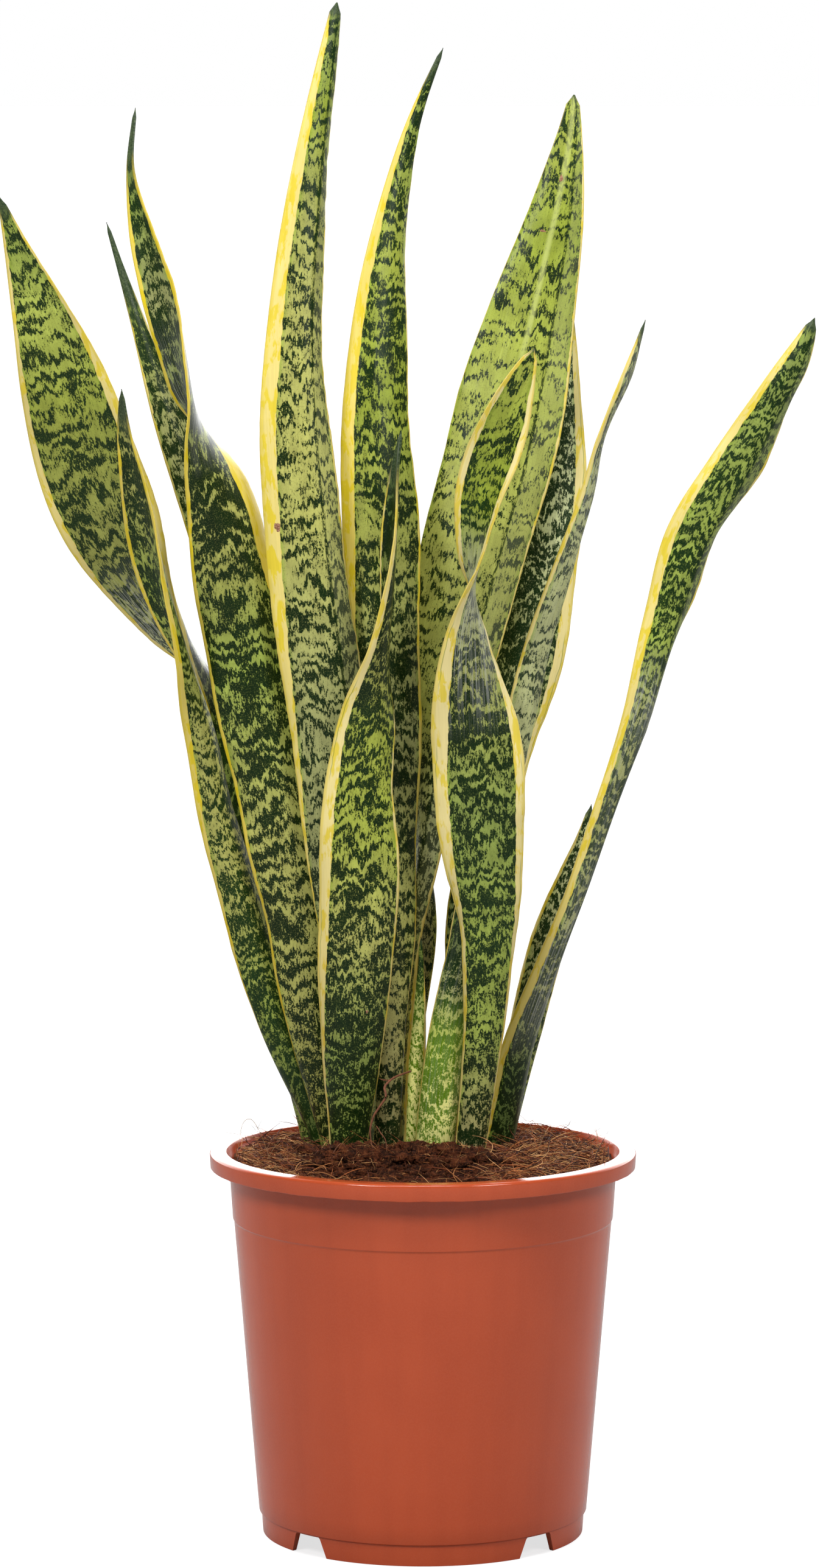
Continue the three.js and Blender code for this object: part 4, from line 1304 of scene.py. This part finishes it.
def anywhere(radius, rng):
    """A place at random within the radius."""
    return polar(radius * math.sqrt(rng.random()), rng.uniform(0, 2 * math.pi))


def coir_strand(line, radii, shades, rng):
    tint = linear(rng.choice(COIR_TINTS)) * rng.uniform(*shades)
    return line, rng.choice(radii), tint


def soil_fibres():
    """Coir fibres matted over the soil, curled at random, thickest at both sides of the leaves."""
    f, rng = FIBRE, random.Random(FIBRE.seed)
    edge = inner_radius(SOIL.edge_z) - f.wall_gap
    strands = []
    while len(strands) < f.count:
        x, y = anywhere(edge, rng)
        if rng.random() > mix(f.bare_share, 1, min(1, (abs(x - f.bare_x) / f.bare_width) ** 3)):
            continue
        step = rng.choice(f.lengths) * rng.uniform(*f.stretch) / f.points
        heading, curl = rng.uniform(0, 2 * math.pi), rng.gauss(0, f.curl)
        if rng.random() < f.strong_share:
            curl = rng.gauss(0, f.strong_curl)
        z = soil_z(x, y) + rng.uniform(*f.lift)
        pitch, bend = abs(rng.gauss(0, f.pitch)), rng.uniform(*f.bend)
        line = []
        for _ in range(f.points):
            reach = math.hypot(x, y)
            if reach > edge:
                x, y = x * edge / reach, y * edge / reach
            z = max(z, soil_z(x, y) - f.sunk)
            line.append((x, y, z))
            heading += curl + rng.gauss(0, f.wander)
            x += step * math.cos(heading) * math.cos(pitch)
            y += step * math.sin(heading) * math.cos(pitch)
            z += step * math.sin(pitch)
            pitch -= bend + rng.gauss(0, f.nod)
        strands.append(coir_strand(line, f.radii, f.shades, rng))
    tubes("soil_fibres", strands, 4)


def clod_fibres(spots):
    """Short fibres that stick out of the clods, each bent a little."""
    rng = random.Random(CLOD.fibre_seed)
    strands = []
    for point, size in spots:
        for _ in range(2 if size > 2 else 1):
            at = np.array(point)
            way = np.array([rng.gauss(0, 1), rng.gauss(-0.5, 1), rng.uniform(0.1, 1.2)])
            way = way / np.linalg.norm(way)
            bend = np.array([rng.gauss(0, 0.2), rng.gauss(0, 0.2), rng.uniform(-0.28, 0.05)])
            step = rng.uniform(0.9, 1.9) * (0.6 + size / 6)
            line = []
            for _ in range(CLOD.fibre_points):
                line.append(at)
                at = at + way * step
                way = way + bend
            strands.append(coir_strand(line, CLOD.fibre_radii, CLOD.fibre_shades, rng))
    tubes("clod_fibres", strands, 4)


def ball(detail):
    """A round mesh's corners and faces, for lumps to be shaped from."""
    shape = bmesh.new()
    bmesh.ops.create_icosphere(shape, subdivisions=detail, radius=1)
    corners = np.array([v.co[:] for v in shape.verts])
    faces = [tuple(v.index for v in f.verts) for f in shape.faces]
    shape.free()
    return corners, faces


# How high and how often the surface of a lump swells, in shares of its size.
LUMP_SWELLS = ((0.55, 1.3), (0.55, 2.9), (0.4, 6.5))


def lumps(name, spots, kind):
    """Rough lumps of peat and coir in one mesh. A spot is its centre and its size."""
    rng = random.Random(kind.shape_seed)
    corners, skin = ball(kind.detail)
    points, faces = [], []
    for centre, size in spots:
        stretch = np.array([rng.uniform(0.75, 1.5), rng.uniform(0.75, 1.3), rng.uniform(0.6, 0.95)])
        shift = Vector([rng.uniform(0, 90) for _ in range(3)])
        rough = []
        for corner in corners:
            at = Vector(corner)
            swells = [high * noise.noise(at * often + shift) for high, often in LUMP_SWELLS]
            rough.append(0.95 + sum(swells))
        start = len(points)
        points.extend(np.array(centre) + corners * stretch * size * np.array(rough)[:, None])
        faces.extend(tuple(start + i for i in face) for face in skin)
    new_piece(name, np.array(points), faces, SOIL_SKIN)


def crumb_spots():
    """Loose crumbs, half of them in the heap before the leaves and the rest all over the soil."""
    c, rng = CRUMB, random.Random(CRUMB.seed)
    spots = []
    for k in range(c.count):
        x, y = anywhere(inner_radius(SOIL.edge_z) - c.wall_gap, rng)
        if k % 2:
            x, y = rng.uniform(*c.heap_x), rng.uniform(*c.heap_y)
        size = rng.choice(c.sizes)
        spots.append(((x, y, soil_z(x, y) + c.lift * size), size))
    return spots


def clod_spots():
    """Clods heaped in front of the leaves' bases, with some more round about."""
    c, rng = CLOD, random.Random(CLOD.seed)
    feet = [b.middle[np.argmin(np.abs(b.z - c.foot_z)), BLADE.columns // 2] for b in BLADES.values()]
    front = [foot for foot in feet if foot[1] < c.front_y]
    spots = []
    for k in range(c.count):
        size = rng.choice(c.sizes)
        if k % c.stray:
            foot = rng.choice(front)
            x, y = foot[0] + rng.gauss(0, c.beside), foot[1] - rng.uniform(*c.ahead)
            z = soil_z(x, y) + rng.uniform(*c.lift) * size
        else:
            x, y = anywhere(c.stray_reach, rng)
            z = soil_z(x, y) - c.stray_sunk * size
        spots.append(((x, y, min(z, c.top - size)), size))
    return spots


soil()
soil_fibres()
lumps("soil_crumbs", crumb_spots(), CRUMB)
CLOD_SPOTS = clod_spots()
lumps("soil_clods", CLOD_SPOTS, CLOD)
clod_fibres(CLOD_SPOTS)

# ---------------------------------------------------------------- roots and hairs

DRY_ROOT = [
    (-6, -2, 230), (-12, -12, 229.5), (-16, -17, 228), (-18.8, -20, 225), (-18.2, -22, 220.8),
    (-21.4, -22.5, 215.5), (-24.1, -23, 211.2), (-25.8, -23.5, 204.8), (-25.4, -24, 199),
    (-24.7, -25, 195), (-25, -25, 187),
]
SIDE_ROOTS = [
    [(-22.8, -23.4, 206.5), (-20.6, -24.4, 203), (-18.3, -25, 199.5), (-17.7, -26, 193),
     (-18, -27, 186)],
    [(-16, -17, 228), (-19.6, -19, 228.5), (-21.4, -20, 229.5)],
    [(-47, -24, 186), (-44, -25, 193), (-40, -25, 198), (-37, -25, 195)],
    [(-2, -20, 186), (0, -21, 192), (1.5, -21, 197)],
]
HAIRS = [
    [(-74, -20, 184), (-76, -22, 193), (-80, -24, 204), (-84, -25, 210), (-88, -26, 208),
     (-90, -27, 198), (-91, -27, 192)],
    [(-78, -24, 184), (-76, -26, 190), (-73, -28, 196), (-70, -28, 200)],
    [(56, -8, 190), (58, -9, 196), (60, -10, 201), (59, -11, 204)],
    [(84, -8, 186), (86, -10, 194), (85, -11, 201), (83, -11, 203)],
    [(70, -30, 186), (73, -32, 193), (78, -33, 196), (83, -34, 195)],
]


def smooth_line(points, per_span=5):
    """A smooth line through the points."""
    last = len(points) - 1
    return path_at(points, np.arange(last + 1, dtype=float), np.linspace(0, last, last * per_span + 1))


ROOTS = [(smooth_line(DRY_ROOT), 0.6, ROOT_TINT)]
ROOTS += [(smooth_line(line), 0.3, ROOT_TINT) for line in SIDE_ROOTS]
tubes("dry_root", ROOTS, 8)
tubes("loose_hairs", [(smooth_line(line), 0.13, HAIR_TINT) for line in HAIRS], 5)

# A scab's leaf, height, place across from -1 to 1, half width and half height.
SCARS = [
    ("leaf_tallest", 499, 0.62, 1.8, 2.6),
    ("leaf_broad_right", 665, 0.1, 1.1, 2.2),
    ("leaf_broad_right", 640, 0.25, 1.8, 0.7),
    ("leaf_front_centre", 262, -0.35, 0.7, 1),
]


def scars():
    """Small corky scabs, each a thin dome that lies on the leaf."""
    points, faces = [], []
    rings, sectors = 5, 18
    for name, z, s, wide, tall in SCARS:
        centre, out, sideways = BLADES[name].at(z, s)
        upward = np.cross(out, sideways)
        faces += joined(rings, sectors, len(points), flipped=True)
        for r in np.arange(rings) / (rings - 1):
            for k in range(sectors):
                t = 2 * math.pi * k / sectors
                ragged = 1 + 0.16 * math.sin(3 * t + z) + 0.1 * math.sin(7 * t)
                x, y = r * wide * ragged * math.cos(t), r * tall * ragged * math.sin(t)
                points.append(centre + sideways * x + upward * y + out * (0.28 * (1 - r**2) - 0.12 * r))
    new_piece("leaf_scars", np.array(points), faces, SCAR_SKIN)


scars()

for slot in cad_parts["rhizome"].material_slots:
    slot.material = root_skin()

# ---------------------------------------------------------------- stage, light and camera


def floor():
    """A plain white floor that glows a little for the viewer, as an overexposed studio table does."""
    s = Skin("stage_white")
    s.finish(
        Base_Color=HUES.stage,
        Roughness=0.9,
        Specular_IOR_Level=0.1,
        Emission_Color=HUES.white,
        Emission_Strength=s.seen(0.0, 0.72),
    )
    reach = 90
    mesh = bpy.data.meshes.new("floor")
    corners = [(-reach, -reach, 0), (reach, -reach, 0), (reach, reach, 0), (-reach, reach, 0)]
    mesh.from_pydata(corners, [], [(0, 1, 2, 3)])
    mesh.materials.append(s.material)
    piece = add_object("floor", mesh)


def studio_air():
    """White air that is brightest behind the plant and at its sides, and dim behind the viewer."""
    world = bpy.data.worlds.new("studio_air")
    world.use_nodes = True
    air = Nodes(world.node_tree)
    behind = air.parts(air.node("TexCoord", "Generated", {}))[1]
    background = air.tree.nodes["Background"].inputs
    air.put(background["Strength"], air.seen(air.step(behind, 0.2, 0.85, 0.15, 4.2), 1.0))
    air.put(background["Color"], HUES.white)
    bpy.context.scene.world = world


def softbox(name, place, size, power, aim=(0, 0, 0.4)):
    """A soft light in metres and watts, turned to the middle of the plant."""
    data = bpy.data.lights.new(name, "AREA")
    data.shape, data.size, data.size_y, data.energy = "RECTANGLE", size[0], size[1], power
    light = add_object(name, data)
    light.location = place
    light.rotation_euler = (Vector(aim) - Vector(place)).to_track_quat("-Z", "Y").to_euler()
    light.visible_camera = False


def camera():
    data = bpy.data.cameras.new("photo_view")
    data.sensor_width = SENSOR
    data.lens = EYE.focal * SENSOR
    data.clip_start, data.clip_end = 0.1, 400
    eye = add_object("photo_view", data)
    eye.location = to_frame(EYE.place)
    eye.rotation_euler = (math.radians(90 - EYE.tilt), 0, 0)
    bpy.context.scene.camera = eye


floor()
studio_air()
softbox("front_left", (-1.2, -1.7, 2.0), (0.7, 0.7), 38)
softbox("front_right", (1.4, -1.6, 1.8), (0.7, 0.7), 24)
softbox("top", (0, -0.9, 2.4), (1.0, 0.8), 22)
camera()
bpy.context.scene.view_settings.view_transform = "Standard"
